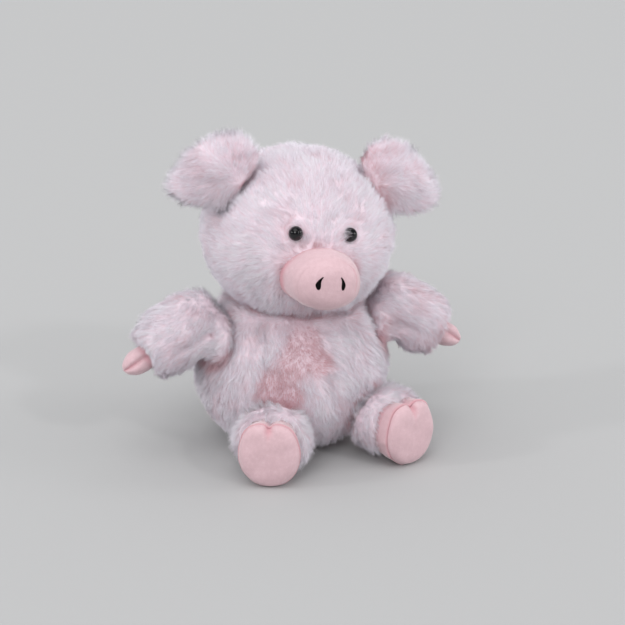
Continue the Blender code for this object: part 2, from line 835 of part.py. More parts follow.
def build_ear(side, seam, head):
    way = SIDES[side]
    rings = [(0, 0, 0, 0, 0)]
    for reach, width, thick in EAR_STATION_SHARES:
        rings.append(
            (
                EAR_REACH * reach,
                EAR_WIDTH / 2 * width,
                EAR_THICKNESS / 2 * thick,
                way * EAR_TIP_SHIFT * reach**2,
                EAR_SWEEP * reach**2,
            )
        )
    rings.append((EAR_REACH, 0, 0, way * EAR_TIP_SHIFT, EAR_SWEEP))
    form = soft_form(
        f"ear_{side}_form",
        seam,
        rings,
        EAR_SEGMENTS,
        EAR_WIDTH + EAR_TIP_SHIFT / 4,
        EAR_THICKNESS + EAR_SWEEP / 4,
    )
    ear = dressed(f"ear_{side}", form, FUR)
    room = grown_form(f"ear_{side}_room", head, SEAM_PLAY)
    axis = seam.matrix_world.to_3x3().col[0].normalized()
    cut(ear, *turned_copies(room, seam, axis, steps_between(-EAR_TURN, EAR_TURN)))
    half = EAR_ROOT_LENGTH / 2
    thick = EAR_ROOT_THICKNESS / 2
    boolean(ear, "UNION", ball(f"ear_{side}_root", seam, (half, thick, thick)))
    reach = socket_reach(thick)
    return ball(f"ear_{side}_slot", seam, (socket_reach(half), reach, reach))


def build_head(head, neck, head_outside):
    nose = frame("snout_axis", (0, 0, HEAD_RISE - SNOUT_DROP), (0, -1, 0), neck)
    build_snout(nose, head_outside)
    cover = dressed("head_cover", head, FUR)
    stuffing = inset_form("head_stuffing", head, PLUSH + GAP, STUFFING)
    bottom = HEAD_RISE - HEAD_HEIGHT / 2
    hole = pin("neck_hole", neck, NECK_HOLE_RADIUS, bottom - OVERRUN, HEAD_RISE)
    cut(cover, inset_form("head_hollow", head, PLUSH), hole)
    plug_low = bottom + PLUSH - FLOOR_PRESS
    plug = pin("neck_plug", neck, NECK_HOLE_RADIUS - GAP, plug_low, HEAD_RISE)
    boolean(stuffing, "UNION", plug)
    for side in SIDES:
        build_nostril(side, nose)
        cover_room, stuffing_rooms = build_eye(side, eye_frame(side, head, neck))
        slot = build_ear(side, ear_frame(side, neck), head)
        cut(cover, cover_room, slot)
        cut(stuffing, *stuffing_rooms, slot)


def build_tail(body):
    at, normal = skin_point(body, 0, TAIL_HEIGHT, -1)
    root = frame("tail_seam", at - normal * TAIL_SINK, (0, 1, 0))
    points = [(0, 0, 0, TAIL_THICKNESS / 2)]
    for step in range(CURL_POINTS):
        share = step / (CURL_POINTS - 1)
        turn = 2 * math.pi * TAIL_TURNS * share
        x = TAIL_CURL_RADIUS * math.sin(turn)
        y = TAIL_CURL_RADIUS * (math.cos(turn) - 1)
        z = TAIL_LEAD + TAIL_PITCH * TAIL_TURNS * share
        radius = TAIL_THICKNESS / 2 * (1 - (1 - TAIL_TIP_SHARE) * share)
        points.append((x, y, z, radius))
    tail = tube("tail", points, root, VELOUR_PINK)
    boolean(tail, "UNION", ball("tail_root", root, (TAIL_ROOT_RADIUS,) * 3))
    return socket("tail_room", root, TAIL_ROOT_RADIUS)


def main():
    reach = BODY_WIDTH + ARM_LENGTH
    floor = block("floor", None, (-reach, -reach, -OVERRUN), (reach, reach, 0))
    lean = (math.sin(HEAD_TILT), 0, math.cos(HEAD_TILT))
    behind = Vector((math.sin(HEAD_YAW), math.cos(HEAD_YAW), 0))
    neck = frame("neck_axis", (NECK_X, 0, NECK_HEIGHT), lean, up=behind)
    body = body_form()
    head = head_form("head_form", neck, HEAD_DEPTH)
    head_round = head_form("head_round", neck, HEAD_WIDTH)

    sockets = []
    for side, way in SIDES.items():
        droop = ARM_DROOP[side]
        forward = ARM_FORWARD[side]
        level = math.cos(droop)
        shoulder = frame(
            f"shoulder_{side}",
            (way * ARM_PIVOT_X, -ARM_PIVOT_FRONT, ARM_PIVOT_HEIGHT),
            (
                way * level * math.cos(forward),
                -level * math.sin(forward),
                -math.sin(droop),
            ),
        )
        build_arm(side, shoulder, (body, head_round))
        sockets.append(socket(f"arm_{side}_socket", shoulder, ARM_ROOT_RADIUS))
        splay = LEG_SPLAY[side]
        hip = frame(
            f"hip_{side}",
            (way * LEG_PIVOT_X[side], -LEG_PIVOT_FRONT[side], LEG_THICKNESS / 2 - FLOOR_PRESS),
            (way * math.sin(splay), -math.cos(splay), 0),
        )
        build_leg(side, hip, (body,), floor)
        sockets.append(socket(f"leg_{side}_socket", hip, LEG_ROOT_RADIUS))

    tail_room = build_tail(body)
    head_seat = grown_form("head_seat", head, 2 * SEAM_PLAY)
    build_body(body, head_seat, sockets, tail_room, floor)
    build_head(head, neck, grown_form("head_outside", head, GAP))


clear_scene()
PARTS = new_collection("plush_pig")
GUIDES = new_collection("guides")
FUR = material("pale_pink_fur", (0.80, 0.66, 0.71), 0.95, 0.5)
VELOUR_PINK = material("pink_velour", (0.80, 0.53, 0.55), 0.85, 0.4)
STUFFING = material("white_stuffing", (0.90, 0.90, 0.88), 1.0)
PELLETS = material("pellet_bag_cloth", (0.86, 0.85, 0.80), 0.9)
BEAD = material("black_bead", (0.012, 0.011, 0.013), 0.08)
PLASTIC = material("washer_plastic", (0.75, 0.76, 0.74), 0.45)
THREAD = material("black_thread", (0.02, 0.018, 0.022), 0.5)
main()
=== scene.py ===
"""Plush pig: long matted fur over soft skins, velour snout and hooves, bead eyes, on a plain stage.

Metres, +Z up. The pig faces -Y, and left and right are its own, so its left side is +X.
"""

import json
import math

import bmesh
import bpy
import numpy as np
from bpy.props import FloatProperty, FloatVectorProperty, PointerProperty
from mathutils import Matrix, Vector
from mathutils.bvhtree import BVHTree
from mathutils.kdtree import KDTree

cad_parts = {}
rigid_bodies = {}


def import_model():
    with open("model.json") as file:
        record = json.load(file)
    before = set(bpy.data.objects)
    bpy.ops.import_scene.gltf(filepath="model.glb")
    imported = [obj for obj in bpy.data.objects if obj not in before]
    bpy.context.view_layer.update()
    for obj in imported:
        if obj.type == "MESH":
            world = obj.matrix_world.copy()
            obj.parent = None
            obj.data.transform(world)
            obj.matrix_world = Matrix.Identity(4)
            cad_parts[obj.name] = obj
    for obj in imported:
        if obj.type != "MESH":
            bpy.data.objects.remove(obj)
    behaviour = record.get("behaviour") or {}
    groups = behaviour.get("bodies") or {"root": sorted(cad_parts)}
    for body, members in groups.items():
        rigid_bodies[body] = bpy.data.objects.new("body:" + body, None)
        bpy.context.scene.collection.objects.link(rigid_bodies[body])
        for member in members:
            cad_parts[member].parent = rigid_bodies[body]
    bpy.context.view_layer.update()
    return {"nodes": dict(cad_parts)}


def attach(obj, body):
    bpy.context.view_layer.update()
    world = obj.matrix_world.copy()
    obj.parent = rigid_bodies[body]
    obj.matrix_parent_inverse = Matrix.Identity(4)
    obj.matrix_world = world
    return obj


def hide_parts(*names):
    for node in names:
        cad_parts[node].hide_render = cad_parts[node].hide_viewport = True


bl_info = {
    "name": "Plush Pig",
    "version": (1, 0, 0),
    "blender": (4, 5, 0),
    "location": "View3D > Sidebar > Plush Pig",
    "description": "A sitting plush pig with combed fur, velour hooves and bead eyes",
    "category": "Add Mesh",
}

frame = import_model()

SIDES = {"left": 1, "right": -1}

# Each soft part of the toy: its body, and the solids that its skin stands for
SOFT_PARTS = {
    "head": ("head", ("head_cover", "head_stuffing")),
    "torso": ("torso", ("body_cover", "body_stuffing", "pellet_bag")),
    "arm_left": ("arm_left", ("arm_left_cover", "arm_left_stuffing")),
    "arm_right": ("arm_right", ("arm_right_cover", "arm_right_stuffing")),
    "leg_left": ("leg_left", ("leg_left_cover", "leg_left_stuffing")),
    "leg_right": ("leg_right", ("leg_right_cover", "leg_right_stuffing")),
    "ear_left": ("ear_left", ("ear_left",)),
    "ear_right": ("ear_right", ("ear_right",)),
}


def seat(location, along, across):
    """A place on the toy: its Z runs along, and its X across."""
    z = Vector(along).normalized()
    x = Vector(across)
    x = (x - z * x.dot(z)).normalized()
    turn = Matrix((x, z.cross(x), z)).transposed()
    return Matrix.Translation(location) @ turn.to_4x4()


SNOUT = seat((0.002947, 0.0, 0.134262), (-0.034518, -0.999397, 0.003628), (0.993923, -0.034709, -0.104465))
EYES = {
    "left": seat((0.023111, -0.05855, 0.160728), (0.342627, -0.905275, 0.251163), (0.939446, 0.328165, -0.09874)),
    "right": seat((-0.015272, -0.057211, 0.164762), (-0.344627, -0.881276, 0.323396), (0.91454, -0.392908, -0.096122)),
}
WRISTS = {
    "left": seat((0.105062, -0.013428, 0.066874), (0.855507, -0.181844, -0.48481), (0.207912, 0.978148, 0.0)),
    "right": seat((-0.106306, -0.006518, 0.06863), (-0.888836, -0.062154, -0.45399), (0.069757, -0.997564, 0.0)),
}
ANKLES = {
    "left": seat((0.054693, -0.072277, 0.0225), (0.358368, -0.93358, 0.0), (0.93358, 0.358368, 0.0)),
    "right": seat((-0.040349, -0.079099, 0.0225), (-0.398749, -0.91706, 0.0), (0.91706, -0.398749, 0.0)),
}
SHOULDERS = {"left": Vector((0.056, -0.003, 0.0755)), "right": Vector((-0.056, -0.003, 0.0755))}
HIPS = {"left": Vector((0.040, -0.034, 0.02575)), "right": Vector((-0.024, -0.0415, 0.02575))}
LIMBS = {"arm": (WRISTS, SHOULDERS, (0.0, -0.1, -0.55)), "leg": (ANKLES, HIPS, (0.0, 0.0, -0.35))}  # with their sag
CHEST_PARTING = (-0.0135, -0.062, 0.068)

# Where the chest's pile is short and stands up, with how far each spot reaches
CHEST_SPOTS = (
    ((-0.0100, -0.0550, 0.0880), 0.0200),
    ((-0.0160, -0.0590, 0.0760), 0.0200),
    ((-0.0020, -0.0620, 0.0750), 0.0150),
    ((-0.0320, -0.0580, 0.0640), 0.0170),
    ((-0.0230, -0.0625, 0.0550), 0.0170),
    ((-0.0345, -0.0570, 0.0520), 0.0150),
)

# Folds in the fur, dented into the skin, with shorter pile and painted shade: the points along each, and its half width
CREASES = {
    "ear_right": ((((-0.0560, -0.0240, 0.1730), (-0.0477, -0.0300, 0.1789), (-0.0400, -0.0320, 0.1850)), 0.0030),),
    "ear_left": (
        (
            (
                (0.0440, -0.0190, 0.1960), (0.0463, -0.0190, 0.1988),
                (0.0490, -0.0176, 0.2024), (0.0516, -0.0181, 0.2065),
            ),
            0.0038,
        ),
        (((0.0562, -0.0243, 0.1816), (0.0598, -0.0247, 0.1751), (0.0635, -0.0247, 0.1698)), 0.0022),
    ),
    "arm_right": ((((-0.0895, -0.0322, 0.0801), (-0.0774, -0.0315, 0.0843), (-0.0642, -0.0272, 0.0885)), 0.0024),),
    "arm_left": ((((0.0662, -0.0308, 0.0835), (0.0761, -0.0345, 0.0799), (0.0869, -0.0362, 0.0755)), 0.0024),),
    "torso": (
        (((0.0063, -0.0651, 0.0617), (0.0113, -0.0652, 0.0466), (0.0190, -0.0603, 0.0291)), 0.0028),
        (((0.0216, -0.0629, 0.0445), (0.0299, -0.0599, 0.0482), (0.0389, -0.0552, 0.0506)), 0.0026),
    ),
}
EAR_SEAMS = {
    "left": seat((0.057116, -0.016709, 0.181357), (0.868568, -0.034785, 0.494349), (0.487249, -0.122098, -0.864685)),
    "right": seat((-0.041282, -0.013273, 0.1917), (-0.74726, 0.021641, 0.664179), (0.663426, 0.081915, 0.743744)),
}

# Lofted velour: how far along its axis and how wide each piece is, from its back to its front
SNOUT_SIDE = (
    (0.052, 0.0), (0.053, 0.0248), (0.0600, 0.0256), (0.0680, 0.0248), (0.0745, 0.0236),
    (0.0785, 0.0223), (0.0798, 0.0211), (0.0806, 0.0196), (0.0808, 0.0),
)
SNOUT_FRONT = (
    (0.0770, 0.0), (0.0771, 0.0205), (0.0783, 0.0219), (0.0796, 0.0214), (0.0808, 0.0208),
    (0.0828, 0.0191), (0.0853, 0.0163), (0.0872, 0.0122), (0.0881, 0.0066), (0.0884, 0.0),
)
HAND_PROFILE = (
    (-0.006, 0.0), (-0.005, 0.80), (0.0, 0.96), (0.004, 1.0), (0.009, 0.90), (0.0135, 0.66),
    (0.0165, 0.38), (0.0177, 0.0),
)
BAND_PROFILE = (
    (-0.004, 0.0), (-0.003, 0.88), (0.0005, 0.93), (0.003, 0.985), (0.0070, 1.0),
    (0.0098, 0.975), (0.0102, 0.0),
)
SOLE_PROFILE = (
    (0.0098, 0.0), (0.0099, 0.93), (0.0106, 0.985), (0.0118, 0.985), (0.0140, 0.90),
    (0.0156, 0.72), (0.0163, 0.45), (0.0166, 0.0),
)
PROFILE_STEPS = 8  # on the curve between two rows

# Along a nostril from its foot: the place, how far it bends out and its share of the full width
NOSTRIL_BEND = (
    (-0.50, 0.00, 0.55), (-0.36, 0.03, 0.92), (-0.18, 0.05, 1.00), (0.02, -0.04, 0.80),
    (0.22, -0.24, 0.55), (0.38, -0.50, 0.38), (0.50, -0.80, 0.24),
)

TAIL_CURL = 0.0085
TAIL_TURNS = 1.25
FOOT_WIDE = 0.0203
FOOT_HIGH = 0.0220
FOOT_CLEFT = {"depth": 0.13, "spread": 8.0, "lobe": 0.09}
SOLE_NOTCH = 0.0192  # above the sole's middle

# Each fold that fans out from a sole's notch: its angle in degrees, its reach and its half width
SOLE_PUCKERS = (
    (-90, 0.0075, 0.0010),
    (-52, 0.0060, 0.0008),
    (-128, 0.0060, 0.0008),
    (-20, 0.0048, 0.0007),
    (-160, 0.0048, 0.0007),
)

# Where the skins carry no pile: half widths of the ellipses behind the velour, and reaches round a spot
SNOUT_BARE = (0.0240, 0.0186)
ANKLE_BARE = (0.0185, 0.020)
ANKLE_BARE_FROM = {"left": -0.008, "right": -0.002}  # along the leg
EYE_BARE = 0.0036
WRIST_BARE = 0.006

# The dome of the snout's face that the nostrils lie on: its half widths, its rim and its height
FACE_HALVES = (0.0216, 0.0173)
FACE_RIM = 0.0798
FACE_DOME = 0.0086
NOSTRIL_SIDES = {"left": (0.0017, 0.0022), "right": (0.0023, 0.0034)}  # full width, and bend outwards
STITCHES = 30
STITCH_RUNS = 9
STITCH_SPOKES = 6
BEAD_SINK = 0.0012

# The lamps: the way each shines, its strength and its spread in degrees
LAMPS = {
    "top_light": ((0.22, 0.16, -1.0), 0.62, 50.0),
    "left_light": ((2.3, 3.4, -2.8), 0.60, 24.0),
}
# The same with where each stands, as seen by the camera: right, up and back
CAMERA_LAMPS = {
    "left_window": ((-0.876, 0.314, 0.365), 0.42, 5.0),
    "side_window": ((0.93, 0.25, 0.10), 0.55, 20.0),
    "right_window": ((0.594, 0.353, 0.722), 0.36, 5.0),
}

# The camera, in pixels of the picture: its width, its focal length and where the seat's middle shows
PICTURE = 625.0
FOCAL = 1806.0
SEAT_PIXEL = (292.0, 431.0)

# The fur's skins
VOXEL = 0.0026
EAR_VOXEL = 0.0018
FOLD_DENT = 0.0030
EAR_FOLD_DENT = 0.0006
SEAM_HEIGHTS = {"head": (0.094, 0.106), "torso": (0.104, 0.094)}  # from less drawn in to fully drawn in
BURIED = 0.0075  # pile this deep in another part is left out
LOOK_OUT = 0.014  # and so is pile with another part's inside this far out
STRANDS_IN_PIECE = 190000 // 3

TAIL_SEAT = seat((-0.000073, 0.065468, 0.040137), (0.0, 1.0, 0.0), (-1.0, 0.0, 0.0))


# What fills the torso's seams, under the head and at each limb
SEAM_FILLINGS = (
    ((-0.0008, 0.0, 0.0965), (0.0445, 0.0440, 0.0130)),
    *((tuple(place), (0.0165, 0.0165, 0.0165)) for place in SHOULDERS.values()),
    *((tuple(place), (0.0210, 0.0210, 0.0210)) for place in HIPS.values()),
)

# What rounds off each arm's root against the torso
ARM_FILLINGS = {
    "arm_left": (((0.0570, -0.0110, 0.0820), (0.0120, 0.0230, 0.0240)),),
    "arm_right": (((-0.0570, -0.0120, 0.0820), (0.0125, 0.0240, 0.0240)),),
}


PALE_TIP = Vector((0.575, 0.575, 0.59))  # added to 0.4 of the tips' colour in the palest strands
COLOUR = {"subtype": "COLOR", "size": 3}


class FurSettings(bpy.types.PropertyGroup):
    """The pile of the fur and its colours."""

    length: FloatProperty(name="Pile Length", description="Length of a strand", default=0.0078, unit="LENGTH")
    width: FloatProperty(name="Strand Width", description="Width of a strand", default=0.00018, unit="LENGTH")
    depth: FloatProperty(
        name="Backing Depth", description="From the pile's top to its backing", default=0.0034, unit="LENGTH"
    )
    density: FloatProperty(name="Density", description="Strands on a square millimetre", default=3.3)
    lean: FloatProperty(
        name="Lean", description="How far the pile lies over at its tips", default=math.radians(66), subtype="ANGLE"
    )
    clump: FloatProperty(name="Clump Size", description="Distance between tufts", default=0.0030, unit="LENGTH")
    tip: FloatVectorProperty(
        name="Tip", description="Colour of the tips", **COLOUR, default=(0.95, 0.885, 0.97)
    )
    root: FloatVectorProperty(
        name="Root", description="Colour of the pile near the backing", **COLOUR, default=(0.94, 0.76, 0.825)
    )
    # Deep pink of the chest's pile, also painted as shade in the fur's folds and where parts meet.
    shade_and_deep_pink: FloatVectorProperty(
        name="Crease", description="Colour of the pile deep in the folds", **COLOUR, default=(0.66, 0.30, 0.33)
    )
    backing: FloatVectorProperty(
        name="Backing", description="Colour of the knit backing", **COLOUR, default=(0.86, 0.715, 0.785)
    )


class VelourSettings(bpy.types.PropertyGroup):
    """The short-pile cloth of the snout and the hooves."""

    colour: FloatVectorProperty(
        name="Colour", description="Colour of the velour", **COLOUR, default=(0.64, 0.44, 0.475)
    )
    # Painted shade in the velour's folds and seams.
    shade_and_deep_pink: FloatVectorProperty(
        name="Crease", description="Colour in the folds and seams", **COLOUR, default=(0.60, 0.30, 0.34)
    )


class TrimSettings(bpy.types.PropertyGroup):
    """The eyes and the embroidery."""

    eye_width: FloatProperty(name="Eye Width", description="Width of a bead eye", default=0.0098, unit="LENGTH")
    thread: FloatVectorProperty(
        name="Thread", description="Colour of the nostrils' thread", **COLOUR, default=(0.004, 0.0035, 0.004)
    )


class StageSettings(bpy.types.PropertyGroup):
    """The floor, the light and the camera."""

    backdrop: FloatVectorProperty(
        name="Backdrop", description="Colour of the floor and the backdrop", **COLOUR, default=(0.445, 0.445, 0.447)
    )
    azimuth: FloatProperty(
        name="Azimuth", description="Camera angle round the pig", default=math.radians(-18.5), subtype="ANGLE"
    )
    elevation: FloatProperty(
        name="Elevation", description="Camera angle above the floor", default=math.radians(18.5), subtype="ANGLE"
    )
    distance: FloatProperty(name="Distance", description="From the camera to the seat", default=1.3, unit="LENGTH")


# Working with pieces


def deselect_all():
    if bpy.context.mode != "OBJECT":
        bpy.ops.object.mode_set(mode="OBJECT")
    bpy.ops.object.select_all(action="DESELECT")


def make_active(piece):
    deselect_all()
    piece.select_set(True)
    bpy.context.view_layer.objects.active = piece


def apply_modifier(piece, kind, **settings):
    make_active(piece)
    modifier = piece.modifiers.new(kind.title(), kind)
    for name, value in settings.items():
        setattr(modifier, name, value)
    bpy.ops.object.modifier_apply(modifier=modifier.name)


def edit_whole(piece, operator, **settings):
    make_active(piece)
    bpy.ops.object.mode_set(mode="EDIT")
    bpy.ops.mesh.select_all(action="SELECT")
    operator(**settings)
    bpy.ops.object.mode_set(mode="OBJECT")


def new_piece(name, points, faces):
    mesh = bpy.data.meshes.new(name)
    mesh.from_pydata(points, [], faces)
    mesh.update()
    piece = bpy.data.objects.new(name, mesh)
    bpy.context.scene.collection.objects.link(piece)
    return piece


def coordinates(mesh):
    values = np.empty(len(mesh.vertices) * 3, np.float32)
    mesh.vertices.foreach_get("co", values)
    return values.reshape(-1, 3)


def set_coordinates(mesh, points):
    mesh.vertices.foreach_set("co", np.asarray(points, np.float32).ravel())
    mesh.update()


def vertex_normals(mesh):
    values = np.empty(len(mesh.vertices) * 3, np.float32)
    mesh.vertex_normals.foreach_get("vector", values)
    return values.reshape(-1, 3)


def smooth_shade(piece):
    make_active(piece)
    bpy.ops.object.shade_smooth()


def unit(vectors):
    return vectors / np.maximum(np.linalg.norm(vectors, axis=-1, keepdims=True), 1e-12)


def smooth_noise(points, size, seed):
    """Soft noise from -1 to 1 at each point, with features of about this size."""
    rng = np.random.default_rng(seed)
    total = np.zeros(len(points))
    for _ in range(14):
        wave = unit(rng.normal(size=3)) * (2 * math.pi / size) * rng.uniform(0.45, 1.1)
        total += np.sin(points @ wave + rng.uniform(0, 2 * math.pi))
    return np.clip(total / 4.2, -1, 1)


def seen_from(place, points):
    """The points along a place's own X, Y and Z."""
    axes = np.array([place.col[axis][:3] for axis in range(3)])
    return (points - np.array(place.translation)) @ axes.T


def closeness(points, place, reach):
    """1 at the place, falling softly to 0 at this distance from it."""
    distance = np.linalg.norm(points - np.array(place), axis=1)
    share = np.clip(1 - distance / reach, 0, 1)
    return share * share * (3 - 2 * share)


def crease_share(part, points):
    """1 in the part's folds, falling softly to 0 beside them, on the skin under the pile."""
    depth = bpy.context.scene.pig_fur.depth
    total = np.zeros(len(points))
    for places, wide in CREASES.get(part, ()):
        nearest = np.full(len(points), np.inf)
        for start, end in zip(np.array(places[:-1]), np.array(places[1:])):
            run = np.clip((points - start) @ (end - start) / np.sum((end - start) ** 2), 0, 1)
            nearest = np.minimum(nearest, np.linalg.norm(points - start - run[:, None] * (end - start), axis=1))
        beside = np.clip(nearest**2 - depth**2, 0, None)
        total = np.maximum(total, np.exp(-beside / wide**2) * (nearest < 0.02))
    return total


# Materials


def new_group(name, inputs, outputs):
    group = bpy.data.node_groups.new(name, "ShaderNodeTree")
    for label, kind, default in inputs:
        socket = group.interface.new_socket(label, in_out="INPUT", socket_type=kind)
        socket.default_value = default
    for label, kind in outputs:
        group.interface.new_socket(label, in_out="OUTPUT", socket_type=kind)
    return group


def add_node(tree, kind, inputs=(), **settings):
    node = tree.nodes.new(kind)
    for name, value in settings.items():
        setattr(node, name, value)
    for socket, value in dict(inputs).items():
        if isinstance(value, bpy.types.NodeSocket):
            tree.links.new(value, node.inputs[socket])
        else:
            node.inputs[socket].default_value = value
    return node


def cloth_nap_group():
    """Short pile: a mottled mask and a fine raised grain."""
    if "cloth_nap" in bpy.data.node_groups:
        return bpy.data.node_groups["cloth_nap"]
    group = new_group(
        "cloth_nap",
        (("Grain", "NodeSocketFloat", 2600.0), ("Mottle", "NodeSocketFloat", 260.0), ("Depth", "NodeSocketFloat", 0.5)),
        (("Mask", "NodeSocketFloat"), ("Normal", "NodeSocketVector")),
    )
    entry = add_node(group, "NodeGroupInput")
    mottle = noise(group, entry.outputs["Mottle"], 4.0, 0.6)
    grain = noise(group, entry.outputs["Grain"], 2.0)
    blend = add_node(group, "ShaderNodeMath", {0: mottle, 1: grain}, operation="ADD")
    half = add_node(group, "ShaderNodeMath", {0: blend.outputs[0], 1: 0.5}, operation="MULTIPLY")
    relief = {"Height": half.outputs[0], "Strength": entry.outputs["Depth"], "Distance": 0.0004}
    bump = add_node(group, "ShaderNodeBump", relief)
    leave = add_node(group, "NodeGroupOutput")
    group.links.new(half.outputs[0], leave.inputs["Mask"])
    group.links.new(bump.outputs["Normal"], leave.inputs["Normal"])
    return group


def noise(tree, scale, detail, roughness=0.5):
    """Noise that stays with the piece, from its own coordinates."""
    place = add_node(tree, "ShaderNodeTexCoord").outputs["Object"]
    inputs = {"Vector": place, "Scale": scale, "Detail": detail, "Roughness": roughness}
    return add_node(tree, "ShaderNodeTexNoise", inputs).outputs["Fac"]


def new_material(name, roughness, specular):
    made = bpy.data.materials.new(name)
    made.use_nodes = True
    shader = made.node_tree.nodes["Principled BSDF"]
    shader.inputs["Roughness"].default_value = roughness
    shader.inputs["Specular IOR Level"].default_value = specular
    return made.node_tree, shader


def ramp(tree, factor, stops):
    node = add_node(tree, "ShaderNodeValToRGB", {"Fac": factor})
    elements = node.color_ramp.elements
    while len(elements) < len(stops):
        elements.new(0.5)
    for element, (place, colour) in zip(elements, stops):
        element.position = place
        element.color = (*colour, 1.0)
    return node.outputs["Color"]


def shade_fur(tree, shader):
    """Strands read their map only: across it runs each strand's tone, and up it the way to the tip."""
    fur = bpy.context.scene.pig_fur
    chart = add_node(tree, "ShaderNodeUVMap", uv_map="OFBake")
    split = add_node(tree, "ShaderNodeSeparateXYZ", {"Vector": chart.outputs["UV"]})
    tip = Vector(fur.tip)
    root = Vector(fur.root)
    fold = Vector(fur.shade_and_deep_pink)
    # Low tones take the deep pink, which is painted shade in folds and where parts meet, and also the chest's own deep
    # pink.
    tips = ramp(
        tree,
        split.outputs["X"],
        ((0.0, fold * 0.7 + tip * 0.3), (0.25, fold * 0.3 + tip * 0.7), (0.55, tip), (1.0, tip * 0.4 + PALE_TIP)),
    )
    roots = ramp(
        tree,
        split.outputs["X"],
        ((0.0, fold), (0.25, fold * 0.6 + root * 0.4), (0.6, root), (1.0, root * 0.6 + tip * 0.4)),
    )
    rise = add_node(
        tree,
        "ShaderNodeMapRange",
        {"Value": split.outputs["Y"], "From Min": 0.05, "From Max": 0.65},
        interpolation_type="SMOOTHSTEP",
    )
    mixed = add_node(tree, "ShaderNodeMix", {"Factor": rise.outputs[0], 6: roots, 7: tips}, data_type="RGBA")
    tree.links.new(mixed.outputs[2], shader.inputs["Base Color"])


def mix_painted_shade(tree, shader, nap, shade, shade_and_deep_pink):
    """Colour the cloth by its mottled tint, with painted shade in the deep pink where the fold attribute says."""
    fold = add_node(tree, "ShaderNodeAttribute", attribute_name="fold")
    inputs = {"Factor": fold.outputs["Fac"], 6: shade, 7: (*shade_and_deep_pink, 1.0)}
    mixed = add_node(tree, "ShaderNodeMix", inputs, data_type="RGBA")
    tree.links.new(mixed.outputs[2], shader.inputs["Base Color"])
    tree.links.new(nap.outputs["Normal"], shader.inputs["Normal"])


def shade_backing(tree, shader):
    nap = add_node(tree, "ShaderNodeGroup", node_tree=cloth_nap_group())
    colour = Vector(bpy.context.scene.pig_fur.backing)
    shade = ramp(tree, nap.outputs["Mask"], ((0.3, colour * 0.85), (0.7, colour * 1.08)))
    # Painted shade on the backing where another part lies close, from its fold attribute.
    mix_painted_shade(tree, shader, nap, shade, bpy.context.scene.pig_fur.shade_and_deep_pink)


def shade_velour(tree, shader):
    """Pink velour with painted shade in its folds and seams, which the pieces mark in their fold attribute."""
    velour = bpy.context.scene.pig_velour
    inputs = {"Grain": 2400.0, "Mottle": 330.0, "Depth": 0.55}
    nap = add_node(tree, "ShaderNodeGroup", inputs, node_tree=cloth_nap_group())
    colour = Vector(velour.colour)
    shade = ramp(
        tree,
        nap.outputs["Mask"],
        ((0.30, colour * 0.90), (0.52, colour), (0.72, colour * 0.8 + Vector((0.19, 0.17, 0.18)))),
    )
    mix_painted_shade(tree, shader, nap, shade, velour.shade_and_deep_pink)
    shader.inputs["Sheen Weight"].default_value = 0.45
    shader.inputs["Sheen Roughness"].default_value = 0.4


def shade_bead(tree, shader):
    dust = noise(tree, 900.0, 3.0)
    shade = ramp(tree, dust, ((0.35, (0.003, 0.003, 0.004)), (0.8, (0.006, 0.0055, 0.007))))
    tree.links.new(shade, shader.inputs["Base Color"])
    rough = add_node(tree, "ShaderNodeMapRange", {"Value": dust, "To Min": 0.02, "To Max": 0.05})
    tree.links.new(rough.outputs[0], shader.inputs["Roughness"])


def shade_thread(tree, shader):
    colour = Vector(bpy.context.scene.pig_trim.thread)
    twist = noise(tree, 3000.0, 2.0)
    shade = ramp(tree, twist, ((0.35, colour * 0.7), (0.75, colour * 1.6)))
    tree.links.new(shade, shader.inputs["Base Color"])


# Each material's shading, roughness and specular level
MATERIALS = {
    "matted_fur": (shade_fur, 0.9, 0.0),
    "knit_backing": (shade_backing, 0.95, 0.1),
    "pink_velour_pile": (shade_velour, 0.85, 0.2),
    "black_bead_gloss": (shade_bead, 0.03, 0.5),
    "satin_thread": (shade_thread, 0.7, 0.06),
}


def material(name):
    """One of the pig's materials, made when it is first asked for."""
    if name not in bpy.data.materials:
        shading, roughness, specular = MATERIALS[name]
        shading(*new_material(name, roughness, specular))
    return bpy.data.materials[name]


# Soft skins


def copied_solids(name, nodes, fillings=()):
    """One piece from copies of these solids and their fillings, with their doubled points merged."""
    deselect_all()
    copies = []
    for node in nodes:
        copy = frame["nodes"][node].copy()
        copy.data = copy.data.copy()
        copy.data.materials.clear()
        bpy.context.scene.collection.objects.link(copy)
        copies.append(copy)
    for copy in copies:
        copy.hide_set(False)
        copy.select_set(True)
    bpy.context.view_layer.objects.active = copies[0]
    if len(copies) > 1:
        bpy.ops.object.join()
    piece = bpy.context.view_layer.objects.active
    piece.name = name
    piece.data.name = name
    matrix = piece.matrix_world.copy()
    piece.parent = None
    piece.data.transform(matrix)
    piece.matrix_world = Matrix.Identity(4)
    for place, radii in fillings:
        bpy.ops.mesh.primitive_uv_sphere_add(segments=32, ring_count=16, radius=1.0, location=place, scale=radii)
        piece.select_set(True)
        bpy.context.view_layer.objects.active = piece
        bpy.ops.object.join()
    edit_whole(piece, bpy.ops.mesh.remove_doubles, threshold=0.00002)
    return piece


def keep_outside(piece):
    """Drop the closed pockets inside the piece, and keep its outer surface."""
    make_active(piece)
    points = coordinates(piece.data)
    outermost = int(np.argmax(np.linalg.norm(points - points.mean(axis=0), axis=1)))
    bpy.ops.object.mode_set(mode="EDIT")
    bpy.ops.mesh.select_all(action="DESELECT")
    bpy.ops.object.mode_set(mode="OBJECT")
    piece.data.vertices[outermost].select = True
    bpy.ops.object.mode_set(mode="EDIT")
    bpy.ops.mesh.select_mode(type="VERT")
    bpy.ops.mesh.select_linked()
    bpy.ops.mesh.select_all(action="INVERT")
    bpy.ops.mesh.delete(type="VERT")
    bpy.ops.object.mode_set(mode="OBJECT")


